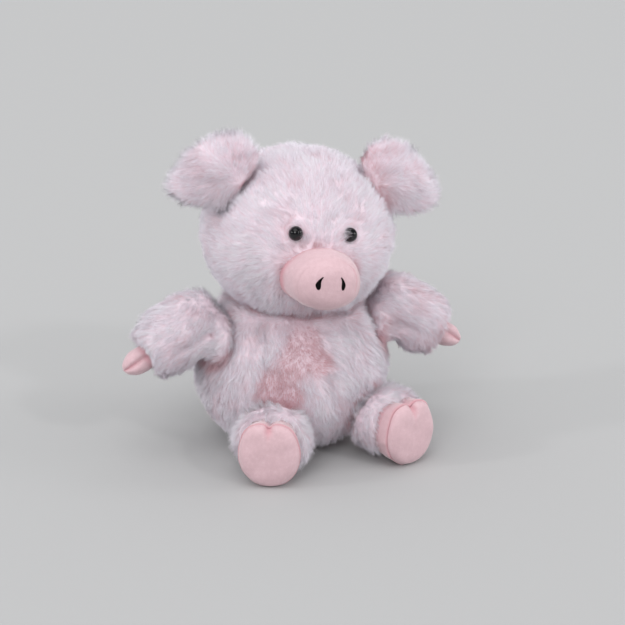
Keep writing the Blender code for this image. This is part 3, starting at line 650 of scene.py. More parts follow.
def draw_in(piece, depth, seam=None):
    """Move the surface in by this depth, and by less where the piece is thin or near its seam's height."""
    points = coordinates(piece.data).astype(float)
    depths = np.full(len(points), depth)
    if seam:
        low, high = seam
        depths *= 0.15 + 0.85 * np.clip((points[:, 2] - low) / (high - low), 0, 1)
    normals = vertex_normals(piece.data).astype(float)
    tree = skin_tree(piece)
    for index, (point, normal) in enumerate(zip(points, normals)):
        inward = Vector(-normal)
        _, _, _, through = tree.ray_cast(Vector(point) + inward * 0.0002, inward)
        points[index] -= normal * min(depths[index], 0.32 * (through or depth))
    set_coordinates(piece.data, points)


def skin_piece(part):
    """The knit backing of one soft part, under its pile."""
    fur = bpy.context.scene.pig_fur
    body, nodes = SOFT_PARTS[part]
    fillings = SEAM_FILLINGS if part == "torso" else ARM_FILLINGS.get(part, ())
    piece = copied_solids(f"{part}_skin", nodes, fillings)
    fine = part.startswith("ear")
    apply_modifier(piece, "REMESH", mode="VOXEL", voxel_size=EAR_VOXEL if fine else VOXEL)
    keep_outside(piece)
    apply_modifier(piece, "SMOOTH", factor=0.5, iterations=14)
    draw_in(piece, fur.depth, SEAM_HEIGHTS.get(part))
    points = coordinates(piece.data)
    dents = (EAR_FOLD_DENT if fine else FOLD_DENT) * crease_share(part, points)[:, None]
    set_coordinates(piece.data, points - vertex_normals(piece.data) * dents)
    apply_modifier(piece, "SMOOTH", factor=0.5, iterations=8)
    smooth_shade(piece)
    piece.data.materials.append(material("knit_backing"))
    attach(piece, body)
    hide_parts(*nodes)
    return piece


def combing(part, points, normals):
    """The direction in which each part's fur is combed, along its skin."""
    limb, side = part.split("_")[0], part.split("_")[-1]
    if part == "head":
        nose = np.array(SNOUT @ Vector((0, 0.006, 0.066)))
        way = unit(points - nose)
        way[:, 2] -= 0.25 * np.clip((0.155 - points[:, 2]) / 0.03, 0, 1)
        behind = np.clip(points[:, 1] / 0.035, 0, 1)[:, None]
        way = way * (1 - behind) + np.array((0.0, 0.5, -1.0)) * behind
        for side in SIDES:
            eye = np.array(EYES[side].translation)
            near = np.clip(2 * closeness(points, eye, 0.0105), 0, 1)[:, None]
            way = way * (1 - near) + unit(eye - points) * near
    elif part == "torso":
        way = np.tile((0.30, 0.0, -1.0), (len(points), 1))
        parting = np.array(CHEST_PARTING)
        share = closeness(points, parting, 0.040)[:, None]
        rim = np.clip((points[:, 2] - 0.090) / 0.010, 0, 1)[:, None]
        way = way * (1 - rim) + (unit(points * (1, 1, 0)) * 0.8 + np.array((0.15, 0.0, 0.25))) * rim
        apart = np.tanh((points[:, :1] - parting[0]) / 0.012) * np.array(((1.0, 0.0, -0.4),))
        way = way * (1 - 0.3 * share) + apart * share * 0.6
    elif limb in LIMBS:
        ends, roots, sag = LIMBS[limb]
        way = unit(np.array(ends[side].translation - roots[side])) + np.array(sag)
        way = np.tile(way, (len(points), 1))
    else:
        root = EAR_SEAMS[side]
        way = unit(points - np.array(root.translation)) + 0.4 * np.array(root.col[2][:3])
        way += np.array((0.0, 0.0, -0.2))
    swirl = np.stack([smooth_noise(points, 0.022, 11 + axis) for axis in range(3)], axis=1)
    way = unit(way) + (0.30 if part == "head" else 0.50) * swirl
    return unit(way - normals * np.sum(way * normals, axis=1, keepdims=True))


def hull_planes(piece):
    """The planes round the piece's convex hull, as directions and offsets."""
    solid = bmesh.new()
    solid.from_mesh(piece.data)
    made = bmesh.ops.convex_hull(solid, input=list(solid.verts)[::16])
    faces = [face for face in made["geom"] if isinstance(face, bmesh.types.BMFace)]
    middle = np.mean([face.calc_center_median() for face in faces], axis=0)
    directions = np.array([face.normal for face in faces])
    places = np.array([face.calc_center_median() for face in faces])
    solid.free()
    directions *= np.sign(np.sum(directions * (places - middle), axis=1, keepdims=True))
    return directions, np.sum(directions * places, axis=1)


def depth_in(planes, points):
    """How deep each point lies inside the hull, and less than zero outside it."""
    directions, offsets = planes
    deepest = np.full(len(points), -np.inf)
    for low in range(0, len(directions), 400):
        some = points @ directions[low : low + 400].T - offsets[low : low + 400]
        deepest = np.maximum(deepest, some.max(axis=1))
    return -deepest


def covered(points, normals, hulls):
    """Which points another part hides, by depth or by facing it, and how near each point is to one."""
    hidden = np.zeros(len(points), bool)
    beside = np.zeros(len(points))
    for planes in hulls:
        depth = depth_in(planes, points)
        hidden |= depth > BURIED
        hidden |= depth_in(planes, points + normals * LOOK_OUT) > LOOK_OUT - 0.0005
        beside = np.maximum(beside, np.clip(1 + depth / 0.005, 0, 1))
    return hidden, beside


def pile_facts(part, points):
    """Length share, tone from 0 for pink to 1 for white, and how upright it stands, at each point."""
    length = np.ones(len(points))
    upright = np.zeros(len(points))
    side = part.split("_")[-1]
    tone = 0.60 + 0.16 * smooth_noise(points, 0.018, 31) + 0.10 * smooth_noise(points, 0.006, 37)
    if part == "head":
        for side in SIDES:
            eye = EYES[side].translation
            near = closeness(points, eye, 0.011)
            length *= 1 - 0.15 * near
            # Painted shade: the pile is darker round the eyes.
            tone -= 0.16 * near
            upright += 1.2 * near
            inner = eye + EYES[side].col[0].to_3d() * (-0.0060 if side == "left" else 0.0060)
            beside = np.clip(2 * closeness(points, inner, 0.0075), 0, 1)
            upright += 1.6 * beside
            length *= 1 + 0.25 * beside
        nose = SNOUT @ Vector((0, 0, 0.058))
        near = closeness(points, nose, 0.044)
        length *= 1 - 0.45 * near
        tone -= 0.25 * near
        # Painted shade: a darker pink ring in the crease round the snout's base.
        local = seen_from(SNOUT, points)
        ring = np.hypot(local[:, 0] / 0.0250, local[:, 1] / 0.0196)
        tone -= 0.35 * np.clip(1 - np.abs(ring - 1) / 0.12, 0, 1) * (points[:, 1] < 0)
    if part == "torso":
        upright += 0.8 * np.clip((points[:, 2] - 0.088) / 0.008, 0, 1)
        patch = np.max([closeness(points, place, reach) for place, reach in CHEST_SPOTS], axis=0)
        patch = np.clip(1.5 * patch, 0, 1)
        tone -= 0.80 * patch
        length *= 1 - 0.45 * patch
        upright += 0.8 * patch
    if part.startswith("arm"):
        # Pinker near the wrist. The left arm is also a little darker all over, which is painted shade.
        tone -= 0.25 * closeness(points, WRISTS[side].translation, 0.022) + (0.12 if side == "left" else 0.0)
        length *= 1 - 0.25 * closeness(points, WRISTS[side].translation, 0.024)
    if part.startswith("leg"):
        near = closeness(points, ANKLES[side].translation, 0.042)
        upright += 0.35 * near
        length *= 1 + (0.55 if side == "right" else 0.15) * near
        tone += 0.2 * near
    if part.startswith("ear"):
        upright += 0.3
        # Painted shade: the pile is darker near the ear's seam with the head.
        tone -= 0.14 * closeness(points, EAR_SEAMS[side].translation, 0.030)
    fold = crease_share(part, points)
    # Painted shade: the pile is darker in the folds, where it is also shorter.
    tone -= 0.65 * fold
    length *= 1 - 0.6 * fold
    return length, tone, upright


def bare_share(part, points):
    """Where the skin carries no pile: round the eyes and behind the sewn-on velour."""
    side = part.split("_")[-1]
    bare = np.zeros(len(points), bool)
    if part == "head":
        for side in SIDES:
            bare |= np.linalg.norm(points - np.array(EYES[side].translation), axis=1) < EYE_BARE
        x, y, z = seen_from(SNOUT, points).T
        bare |= ((x / SNOUT_BARE[0]) ** 2 + (y / SNOUT_BARE[1]) ** 2 < 1) & (z > 0.03)
    if part.startswith("leg"):
        x, y, z = seen_from(ANKLES[side], points).T
        bare |= ((x / ANKLE_BARE[0]) ** 2 + (y / ANKLE_BARE[1]) ** 2 < 1) & (z > ANKLE_BARE_FROM[side])
    if part.startswith("arm"):
        bare |= np.linalg.norm(points - np.array(WRISTS[side].translation), axis=1) < WRIST_BARE
    return bare


def strands(part, skin, others, seed):
    """Combed and clumped strands over one skin, as pieces under the size of an STL file."""
    fur = bpy.context.scene.pig_fur
    rng = np.random.default_rng(seed)
    mesh = skin.data
    mesh.calc_loop_triangles()
    points = coordinates(mesh).astype(float)
    normals = vertex_normals(mesh).astype(float)
    corners = np.empty(len(mesh.loop_triangles) * 3, np.int32)
    mesh.loop_triangles.foreach_get("vertices", corners)
    corners = corners.reshape(-1, 3)
    hidden, beside = covered(points, normals, others)
    # Painted shade on the backing where another part lies close.
    mark_painted_shade(skin, beside)
    hidden |= bare_share(part, points)
    hidden |= (normals[:, 2] < -0.8) & (points[:, 2] < 0.012)
    length, tone, upright = pile_facts(part, points)
    # Painted shade: the pile is darker where another part lies close.
    tone -= 0.50 * beside
    way = combing(part, points, normals)

    sides = points[corners]
    area = 0.5 * np.linalg.norm(np.cross(sides[:, 1] - sides[:, 0], sides[:, 2] - sides[:, 0]), axis=1)
    area[hidden[corners].all(axis=1)] = 0
    density = fur.density * 1.0
    if part.startswith("ear"):
        density *= 1.15
    count = int(area.sum() * 1e6 * density)
    total = np.cumsum(area)
    chosen = np.searchsorted(total, rng.random(count) * total[-1])
    a = rng.random(count)
    b = rng.random(count)
    flip = a + b > 1
    a[flip] = 1 - a[flip]
    b[flip] = 1 - b[flip]
    shares = np.stack((1 - a - b, a, b), axis=1)

    def spread(values):
        return np.einsum("ij,ij...->i...", shares, values[corners[chosen]])

    root = spread(points)
    normal = unit(spread(normals))
    flow = spread(way)
    lengths = spread(length) * fur.length * rng.uniform(0.75, 1.15, count)
    lengths *= 1 + 0.14 * smooth_noise(root, 0.010, 53)
    stand = np.clip(spread(upright), 0, 1)
    tones = spread(tone) + rng.normal(0, 1, count) * (0.10 + 0.10 * stand)

    flow = unit(flow + rng.normal(0, 0.22, (count, 3)))
    flow = unit(flow - normal * np.sum(flow * normal, axis=1, keepdims=True))
    lift = fur.lean + math.radians(13) * smooth_noise(root, 0.012, 61) + rng.normal(0, math.radians(6), count)
    lift -= spread(upright) * math.radians(30)
    lift = np.clip(lift, math.radians(8), math.radians(84))[:, None]
    tip = root + (normal * np.cos(lift) + flow * np.sin(lift)) * lengths[:, None]

    tufts = max(8, int(area.sum() / fur.clump**2))
    tree = KDTree(tufts)
    for index in range(tufts):
        tree.insert(root[index], index)
    tree.balance()
    nearest = np.fromiter((tree.find(place)[1] for place in root), int, count)
    pull = (rng.uniform(0.15, 0.60, count) * (1 - 0.7 * stand))[:, None]
    tip += (tip[nearest] - tip) * pull
    tones += 0.4 * (1 - stand) * (tones[nearest] - tones)
    tip[:, 2] = np.maximum(tip[:, 2], 0.0003)
    tones = np.clip(tones, 0.03, 0.97)

    along = unit(tip - root)
    across = unit(np.cross(along, normal) + rng.normal(0, 0.05, (count, 3)))
    above = np.cross(along, across)
    spin = rng.uniform(0, 2 * math.pi, count)[:, None]
    half = fur.width / 2 * rng.uniform(0.8, 1.25, count)[:, None] / 1.0
    ring = []
    facing = []
    for spoke in range(3):
        angle = spin + 2 * math.pi * spoke / 3
        out = across * np.cos(angle) + above * np.sin(angle)
        ring.append(root - normal * 0.0006 + out * half)
        facing.append(out)
    pieces = max(1, math.ceil(count / STRANDS_IN_PIECE))
    body, _ = SOFT_PARTS[part]
    turn = np.arctan2(root[:, 1] - points[:, 1].mean(), root[:, 0] - points[:, 0].mean())
    order = np.argsort(turn, kind="stable")
    for number, some in enumerate(np.array_split(order, pieces)):
        size = len(some)
        points_out = np.stack((*(side[some] for side in ring), tip[some]), axis=1)
        base = np.arange(size)[:, None] * 4
        loops = (base + np.array((0, 1, 3, 1, 2, 3, 2, 0, 3))).ravel()
        pile = bpy.data.meshes.new(f"{part}_fur_{number + 1}")
        pile.vertices.add(size * 4)
        pile.vertices.foreach_set("co", points_out.astype(np.float32).ravel())
        pile.loops.add(size * 9)
        pile.loops.foreach_set("vertex_index", loops.astype(np.int32))
        pile.polygons.add(size * 3)
        pile.polygons.foreach_set("loop_start", np.arange(0, size * 9, 3, dtype=np.int32))
        pile.update(calc_edges=True)
        chart = pile.uv_layers.new(name="OFBake")
        uv = np.empty((size, 9, 2), np.float32)
        for corner in range(9):
            off = (-0.012, 0.012, 0.0)[corner % 3]
            uv[:, corner, 0] = tones[some] + off
            uv[:, corner, 1] = (0.02, 0.02, 0.98)[corner % 3]
        chart.data.foreach_set("uv", uv.ravel())
        pile.polygons.foreach_set("use_smooth", np.ones(size * 3, bool))
        turned = pile.attributes.new("custom_normal", "FLOAT_VECTOR", "CORNER")
        outward = np.empty((size, 9, 3), np.float32)
        lit = unit(normal[some] + np.array((0.0, 0.0, 0.45)))
        for side in range(3):
            low = facing[side][some]
            high = facing[(side + 1) % 3][some]
            outward[:, side * 3] = unit(low + lit * 1.2)
            outward[:, side * 3 + 1] = unit(high + lit * 1.2)
            outward[:, side * 3 + 2] = unit(unit(low + high) + lit)
        turned.data.foreach_set("vector", outward.ravel())
        piece = bpy.data.objects.new(pile.name, pile)
        bpy.context.scene.collection.objects.link(piece)
        pile.materials.append(material("matted_fur"))
        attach(piece, body)


def skin_tree(piece):
    mesh = piece.data
    return BVHTree.FromPolygons([v.co for v in mesh.vertices], [tuple(p.vertices) for p in mesh.polygons])


# Lofted velour pieces


# Store how much painted shade each point takes, in the fold attribute.
def mark_painted_shade(piece, values):
    attribute = piece.data.attributes.new("fold", "FLOAT", "POINT")
    attribute.data.foreach_set("value", np.clip(values, 0, 1).astype(np.float32))


def sphere_grid(name, segments, rings):
    """A sphere from the primitive, and each of its points' turn round Z and share of the way up."""
    deselect_all()
    bpy.ops.mesh.primitive_uv_sphere_add(segments=segments, ring_count=rings, radius=1.0, location=(0, 0, 0))
    piece = bpy.context.view_layer.objects.active
    piece.name = name
    piece.data.name = name
    points = coordinates(piece.data).astype(float)
    turn = np.arctan2(points[:, 1], points[:, 0])
    rise = 1 - np.arccos(np.clip(points[:, 2], -1, 1)) / math.pi
    return piece, turn, rise


def cleft_outline(turn, place=math.pi / 2, depth=0.20, spread=9.0, lobe=0.07):
    """A hoof's outline: a cleft at this turn, between two lobes."""
    away = np.abs((turn - place + math.pi) % (2 * math.pi) - math.pi)
    cleft = depth * np.exp(-((away / math.radians(spread)) ** 2))
    swell = lobe * np.exp(-(((away - math.radians(38)) / math.radians(22)) ** 2))
    return 1 + swell - cleft


def finished(piece, body, place, nodes):
    piece.data.transform(place)
    piece.data.update()
    smooth_shade(piece)
    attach(piece, body)
    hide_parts(*nodes)


def finished_velour(piece, body, place, nodes, on_floor=False):
    piece.data.materials.append(material("pink_velour_pile"))
    finished(piece, body, place, nodes)
    if on_floor:
        flatten_on_floor(piece)


def drawn_profile(profile, rise):
    """Reach along the axis and width at each share of the way along the profile."""
    stations = rounded(profile, PROFILE_STEPS)
    reach = np.interp(rise, stations[:, 0], stations[:, 1])
    width = np.interp(rise, stations[:, 0], stations[:, 2])
    return reach, width


def rounded(profile, steps):
    """The stations joined by a smooth curve, as (share, reach, width)."""
    profile = np.array(profile, float)
    ends = np.vstack((2 * profile[0] - profile[1], profile, 2 * profile[-1] - profile[-2]))
    points = []
    for index in range(1, len(ends) - 2):
        for share in np.linspace(0, 1, steps, endpoint=False):
            a, b, c, d = ends[index - 1 : index + 3]
            bend = (2 * a - 5 * b + 4 * c - d) * share**2 + (3 * b - a - 3 * c + d) * share**3
            points.append(0.5 * (2 * b + (c - a) * share + bend))
    points.append(profile[-1])
    points = np.array(points)
    points[:, 1] = np.maximum(points[:, 1], 0)
    run = np.concatenate(((0,), np.cumsum(np.linalg.norm(np.diff(points, axis=0), axis=1))))
    return np.column_stack((run / run[-1], points))


class PIG_OT_skins_and_fur(bpy.types.Operator):
    """Make the knit backing of every soft part, and comb its fur"""

    bl_idname = "pig.skins_and_fur"
    bl_label = "Skins and Fur"

    def execute(self, context):
        skins = {part: skin_piece(part) for part in SOFT_PARTS}
        hulls = {part: hull_planes(skin) for part, skin in skins.items()}
        for number, (part, skin) in enumerate(skins.items()):
            others = [planes for other, planes in hulls.items() if other != part]
            strands(part, skin, others, 100 + number)
        return {"FINISHED"}


class PIG_OT_snout(bpy.types.Operator):
    """Sew the snout: a tapered side band and a domed front"""

    bl_idname = "pig.snout"
    bl_label = "Snout"

    def execute(self, context):
        side, turn, rise = sphere_grid("snout_side", 112, 64)
        reach, width = drawn_profile(SNOUT_SIDE, rise)
        high = width * np.interp(reach, (0.052, 0.079), (0.765, 0.80))
        points = np.column_stack((width * np.cos(turn), high * squared(np.sin(turn)), reach))
        points += smooth_noise(points, 0.013, 5)[:, None] * 0.00025 * unit(points * (1, 1, 0))
        set_coordinates(side.data, points)
        # Painted shade: darker towards the band's back, where it meets the fur.
        folds = 0.9 * np.clip((0.0640 - reach) / 0.006, 0, 1)
        mark_painted_shade(side, folds)
        finished_velour(side, "head", SNOUT, ("snout_band", "snout_stuffing"))

        front, turn, rise = sphere_grid("snout_front", 144, 110)
        reach, width = drawn_profile(SNOUT_FRONT, rise)
        points = np.column_stack((width * np.cos(turn), width * 0.80 * squared(np.sin(turn)), reach))
        points[:, 2] += smooth_noise(points, 0.012, 6) * 0.00022 * (width > 0.001)
        seam = 0.0172 + 0.0040 * np.clip(turn / 0.9, 0, 1)
        shown = np.clip((turn + 0.35) / 0.3, 0, 1) * np.clip((1.3 - turn) / 0.3, 0, 1) * (reach > 0.0797)
        seam = shown * np.exp(-(((width - seam) / 0.0006) ** 2))
        points[:, 2] -= 0.00035 * seam
        set_coordinates(front.data, points)
        # Painted shade along the seam's groove.
        mark_painted_shade(front, 0.40 * seam)
        finished_velour(front, "head", SNOUT, ("snout_face",))
        return {"FINISHED"}


def squared(shares):
    """The same shares of a circle's height, flattened towards a rounded square below the middle."""
    return np.where(shares < 0, -(np.abs(shares) ** 0.82), shares)


def face_height(x, y):
    """How far out the snout's front lies at this place on it."""
    share = min(0.999, math.hypot(x / FACE_HALVES[0], y / FACE_HALVES[1]))
    return FACE_RIM + FACE_DOME * (1 - share**2.1) ** 0.62


class PIG_OT_nostrils(bpy.types.Operator):
    """Embroider the two nostrils in satin stitch"""

    bl_idname = "pig.nostrils"
    bl_label = "Nostrils"

    def execute(self, context):
        shares = np.array(NOSTRIL_BEND)
        for side, way in SIDES.items():
            points = []
            faces = []
            full, lean = NOSTRIL_SIDES[side]
            for stitch in range(STITCHES):
                place = -0.52 + 1.04 * stitch / (STITCHES - 1)
                bend = np.interp(place, shares[:, 0], shares[:, 1])
                wide = np.interp(place, shares[:, 0], shares[:, 2]) * full
                slope = 0.25
                middle_x = way * (0.0086 + lean * bend) - 0.0012
                middle_y = 0.0030 + 0.0078 * place
                base = len(points)
                for run in range(STITCH_RUNS):
                    share = run / (STITCH_RUNS - 1) * 2 - 1
                    x = middle_x + share * wide
                    y = middle_y + share * wide * slope * way
                    arch = 0.00075 * math.sqrt(max(0.0, 1 - share**2)) - 0.0001
                    z = face_height(x, y) + arch
                    thick = 0.00024 * (1 - 0.45 * abs(share) ** 6)
                    for spoke in range(STITCH_SPOKES):
                        angle = 2 * math.pi * spoke / STITCH_SPOKES
                        points.append((x, y + thick * math.cos(angle), z + thick * math.sin(angle)))
                for run in range(STITCH_RUNS - 1):
                    for spoke in range(STITCH_SPOKES):
                        after = (spoke + 1) % STITCH_SPOKES
                        low = base + run * STITCH_SPOKES
                        high = low + STITCH_SPOKES
                        faces.append((low + spoke, low + after, high + after, high + spoke))
                faces.append(tuple(base + spoke for spoke in reversed(range(STITCH_SPOKES))))
                last = base + (STITCH_RUNS - 1) * STITCH_SPOKES
                faces.append(tuple(last + spoke for spoke in range(STITCH_SPOKES)))
            piece = new_piece(f"nostril_stitch_{side}", points, faces)
            edit_whole(piece, bpy.ops.mesh.normals_make_consistent, inside=False)
            piece.data.materials.append(material("satin_thread"))
            finished(piece, "head", SNOUT, (f"nostril_{side}",))
        return {"FINISHED"}


class PIG_OT_eyes(bpy.types.Operator):
    """Set the two bead eyes"""

    bl_idname = "pig.eyes"
    bl_label = "Eyes"

    def execute(self, context):
        radius = context.scene.pig_trim.eye_width / 2
        for side in SIDES:
            eye, _, _ = sphere_grid(f"bead_eye_{side}", 64, 48)
            points = coordinates(eye.data).astype(float) * radius
            below = np.clip(-BEAD_SINK - points[:, 2], 0, 1)
            points[:, 2] = np.maximum(points[:, 2], -BEAD_SINK - 0.02 * below)
            set_coordinates(eye.data, points)
            eye.data.materials.append(material("black_bead_gloss"))
            place = EYES[side] @ Matrix.Translation((0, 0, -BEAD_SINK))
            finished(eye, "head", place, (f"eye_{side}",))
            washer = frame["nodes"][f"eye_washer_{side}"]
            washer.data.materials.clear()
            washer.data.materials.append(material("knit_backing"))
        return {"FINISHED"}


class PIG_OT_hands(bpy.types.Operator):
    """Sew the cleft velour hooves of the arms"""

    bl_idname = "pig.hands"
    bl_label = "Hand Hooves"

    def execute(self, context):
        for number, side in enumerate(SIDES):
            hoof, turn, rise = sphere_grid(f"velour_hand_{side}", 72, 48)
            reach, width = drawn_profile(HAND_PROFILE, rise)
            front = math.radians(25 if side == "right" else 155)
            outline = cleft_outline(turn, front, 0.16 + 0.30 * np.clip(reach / 0.017, 0, 1), 13.0)
            cleft_shade = 1 - outline.clip(max=1.0)
            full = width * outline
            points = np.column_stack((0.0100 * full * np.cos(turn), 0.0088 * full * np.sin(turn), reach))
            points[:, 1] += 0.0030
            points += smooth_noise(points, 0.008, 71 + number)[:, None] * 0.0003 * unit(points * (1, 1, 0.2))
            set_coordinates(hoof.data, points)
            # Painted shade in the cleft and where the hoof meets the arm.
            mark_painted_shade(hoof, 1.5 * cleft_shade + 0.6 * np.clip((0.003 - reach) / 0.003, 0, 1))
            finished_velour(hoof, f"arm_{side}", WRISTS[side], (f"hand_hoof_{side}",))
        return {"FINISHED"}


class PIG_OT_feet(bpy.types.Operator):
    """Sew the feet's side bands and their domed, notched soles"""

    bl_idname = "pig.feet"
    bl_label = "Feet"

    def execute(self, context):
        for number, side in enumerate(SIDES):
            band, turn, rise = sphere_grid(f"velour_band_{side}", 120, 48)
            reach, width = drawn_profile(BAND_PROFILE, rise)
            outline = cleft_outline(turn, **FOOT_CLEFT)
            flare = 1 + (0.09 if side == "left" else 0.0) * np.clip((0.0098 - reach) / 0.008, 0, 1)
            full = width * outline
            points = np.column_stack((FOOT_WIDE * full * flare * np.cos(turn), FOOT_HIGH * full * np.sin(turn), reach))
            pucker = smooth_noise(np.column_stack((np.cos(turn), np.sin(turn), reach * 60)), 0.42, 81 + number)
            pucker *= (0.00045 if side == "left" else 0.0002) * (width > 0.6)
            points += pucker[:, None] * unit(points * (1, 1, 0))
            set_coordinates(band.data, points)
            # Painted shade in the cleft, along the edge by the sole and along the hem by the leg. The whole band also
            # takes a little of it.
            cleft_shade = 1 - outline.clip(max=1.0)
            rim = 0.75 * np.exp(-(((reach - 0.0102) / 0.0010) ** 2))
            hem_shade = 0.55 * np.clip((0.003 - reach) / 0.003, 0, 1)
            mark_painted_shade(band, 2.4 * cleft_shade + rim + hem_shade + 0.12)
            finished_velour(band, f"leg_{side}", ANKLES[side], (f"foot_band_{side}",), on_floor=True)

            sole, turn, rise = sphere_grid(f"velour_sole_{side}", 120, 64)
            reach, width = drawn_profile(SOLE_PROFILE, rise)
            outline = 1 + (cleft_outline(turn, **FOOT_CLEFT) - 1) * np.clip(width * 1.15, 0, 1) ** 2
            full = width * outline
            points = np.column_stack((FOOT_WIDE * full * np.cos(turn), FOOT_HIGH * full * np.sin(turn), reach))
            groove = puckers(points)
            points[:, 2] -= groove * 0.0016 * (reach > 0.0104)
            points[:, 2] += smooth_noise(points, 0.011, 91 + number) * 0.0003 * (reach > 0.0104)
            set_coordinates(sole.data, points)
            # Painted shade in the cleft, in the puckers and along the edge by the band.
            cleft_shade = 1 - outline.clip(max=1.0)
            mark_painted_shade(sole, 1.6 * cleft_shade + 0.55 * groove + 0.5 * np.exp(-(((reach - 0.0099) / 0.0009) ** 2)))
            finished_velour(sole, f"leg_{side}", ANKLES[side], (f"foot_sole_{side}",), on_floor=True)
        return {"FINISHED"}


def puckers(points):
    """Short folds that fan out from a sole's notch, from 0 to 1."""
    total = np.zeros(len(points))
    for angle, reach, wide in SOLE_PUCKERS:
        way = np.array((math.cos(math.radians(angle)), math.sin(math.radians(angle))))
        local = points[:, :2] - (0.0, SOLE_NOTCH)
        run = local @ way
        off = local @ np.array((-way[1], way[0]))
        beside = np.exp(-((off / (wide * (0.6 + run.clip(0) / reach))) ** 2))
        total += beside * np.clip(1 - run / reach, 0, 1) * (run > -0.003)
    return np.clip(total, 0, 1)


def flatten_on_floor(piece):
    points = coordinates(piece.data)
    points[:, 2] = np.maximum(points[:, 2], 0.0001)
    set_coordinates(piece.data, points)


class PIG_OT_tail(bpy.types.Operator):
    """Curl the velour tail"""

    bl_idname = "pig.tail"
    bl_label = "Tail"

    def execute(self, context):
        curve = bpy.data.curves.new("curled_tail", "CURVE")
        curve.dimensions = "3D"
        curve.bevel_depth = 1.0
        curve.bevel_resolution = 5
        curve.use_fill_caps = True
        spline = curve.splines.new("POLY")
        steps = 44
        places = [(0.0, 0.0, -0.002, 0.0030), (0.0, 0.0, 0.0, 0.0034), (0.0, 0.0, 0.003, 0.0035)]
        for step in range(steps):
            share = step / (steps - 1)
            turn = 2 * math.pi * TAIL_TURNS * share
            radius = 0.0035 * (1 - 0.40 * share)
            if share > 0.93:
                radius *= math.sqrt(max(0.02, 1 - ((share - 0.93) / 0.07) ** 2))
            x = TAIL_CURL * math.sin(turn)
            y = TAIL_CURL * (math.cos(turn) - 1)
            places.append((x, y, 0.008 + 0.011 * TAIL_TURNS * share, radius))
        spline.points.add(len(places) - 1)
        for point, (x, y, z, radius) in zip(spline.points, places):
            point.co = (x, y, z, 1)
            point.radius = radius
        guide = bpy.data.objects.new("curled_tail_curve", curve)
        context.scene.collection.objects.link(guide)
        make_active(guide)
        bpy.ops.object.convert(target="MESH")
        piece = context.view_layer.objects.active
        piece.name = "curled_tail"
        edit_whole(piece, bpy.ops.mesh.remove_doubles, threshold=0.000002)
        apply_modifier(piece, "SUBSURF", levels=1, render_levels=1)
        points = coordinates(piece.data).astype(float)
        # Painted shade: darker towards the tail's root.
        mark_painted_shade(piece, np.clip((0.004 - points[:, 2]) / 0.004, 0, 1) * 0.6)
        finished_velour(piece, "tail", TAIL_SEAT, ("tail",))
        return {"FINISHED"}


def far_light(name, way, strength, spread):
    """A distant lamp that shines this way, so that the floor is lit evenly."""
    lamp = bpy.data.lights.new(name, "SUN")
    lamp.energy = strength
    lamp.angle = math.radians(spread)
    light = bpy.data.objects.new(name, lamp)
    bpy.context.scene.collection.objects.link(light)
    light.rotation_euler = Vector(way).to_track_quat("-Z", "Y").to_euler()


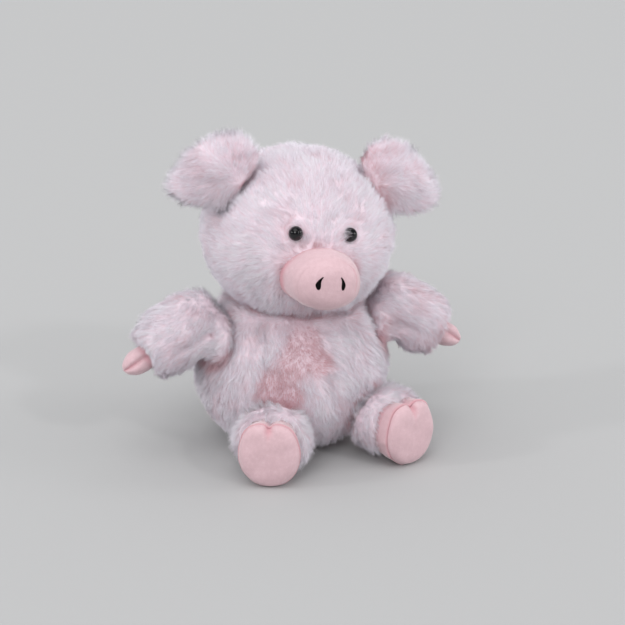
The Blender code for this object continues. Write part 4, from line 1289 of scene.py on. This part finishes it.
class PIG_OT_stage(bpy.types.Operator):
    """Lay the floor, hang the lights and aim the camera"""

    bl_idname = "pig.stage"
    bl_label = "Stage"

    def execute(self, context):
        settings = context.scene.pig_stage
        _, shader = new_material("grey_sweep", 0.9, 0.1)
        shader.inputs["Base Color"].default_value = (*settings.backdrop, 1.0)
        deselect_all()
        bpy.ops.mesh.primitive_plane_add(size=12.0, location=(0, 0, 0))
        floor = context.view_layer.objects.active
        floor.name = "floor"
        floor.data.materials.append(bpy.data.materials["grey_sweep"])

        world = bpy.data.worlds.new("studio")
        world.use_nodes = True
        backdrop = world.node_tree.nodes["Background"]
        backdrop.inputs["Color"].default_value = (0.98, 0.99, 1.0, 1.0)
        rays = add_node(world.node_tree, "ShaderNodeLightPath")
        inputs = {"Value": rays.outputs["Is Glossy Ray"], "To Min": 0.86, "To Max": 0.16}
        level = add_node(world.node_tree, "ShaderNodeMapRange", inputs)
        world.node_tree.links.new(level.outputs[0], backdrop.inputs["Strength"])
        context.scene.world = world

        for name, lamp in LAMPS.items():
            far_light(name, *lamp)

        az = settings.azimuth
        el = settings.elevation
        back = Vector((math.sin(az) * math.cos(el), -math.cos(az) * math.cos(el), math.sin(el)))
        right = Vector((0, 0, 1)).cross(back).normalized()
        up = back.cross(right)
        for name, (place, strength, spread) in CAMERA_LAMPS.items():
            way = -(right * place[0] + up * place[1] + back * place[2])
            far_light(name, way, strength, spread)
        turn = Matrix((right, up, back)).transposed()
        x = (SEAT_PIXEL[0] - PICTURE / 2) / FOCAL * settings.distance
        y = -(SEAT_PIXEL[1] - PICTURE / 2) / FOCAL * settings.distance
        lens = bpy.data.cameras.new("studio_camera")
        lens.sensor_width = 36.0
        lens.lens = FOCAL / PICTURE * lens.sensor_width
        camera = bpy.data.objects.new("studio_camera", lens)
        context.scene.collection.objects.link(camera)
        camera.matrix_world = Matrix.Translation(-(turn @ Vector((x, y, -settings.distance)))) @ turn.to_4x4()
        context.scene.camera = camera
        context.scene.view_settings.view_transform = "Standard"
        return {"FINISHED"}


class PIG_PT_panel(bpy.types.Panel):
    """Shows the plush pig's settings and the buttons that build it"""

    bl_label = "Plush Pig"
    bl_idname = "PIG_PT_panel"
    bl_space_type = "VIEW_3D"
    bl_region_type = "UI"
    bl_category = "Plush Pig"

    def draw(self, context):
        for group in SETTINGS:
            settings = getattr(context.scene, group)
            box = self.layout.box()
            for name in settings.__annotations__:
                box.prop(settings, name)
        for operator in OPERATORS:
            self.layout.operator(operator.bl_idname)


SETTINGS = {
    "pig_fur": FurSettings,
    "pig_velour": VelourSettings,
    "pig_trim": TrimSettings,
    "pig_stage": StageSettings,
}
OPERATORS = (
    PIG_OT_skins_and_fur,
    PIG_OT_snout,
    PIG_OT_nostrils,
    PIG_OT_eyes,
    PIG_OT_hands,
    PIG_OT_feet,
    PIG_OT_tail,
    PIG_OT_stage,
)


def register():
    for name, settings in SETTINGS.items():
        bpy.utils.register_class(settings)
        setattr(bpy.types.Scene, name, PointerProperty(type=settings))
    for operator in OPERATORS:
        bpy.utils.register_class(operator)
    bpy.utils.register_class(PIG_PT_panel)


def unregister():
    bpy.utils.unregister_class(PIG_PT_panel)
    for operator in reversed(OPERATORS):
        bpy.utils.unregister_class(operator)
    for name, settings in SETTINGS.items():
        delattr(bpy.types.Scene, name)
        bpy.utils.unregister_class(settings)


def main():
    register()
    bpy.ops.pig.skins_and_fur()
    bpy.ops.pig.snout()
    bpy.ops.pig.nostrils()
    bpy.ops.pig.eyes()
    bpy.ops.pig.hands()
    bpy.ops.pig.feet()
    bpy.ops.pig.tail()
    bpy.ops.pig.stage()


if __name__ == "__main__":
    main()
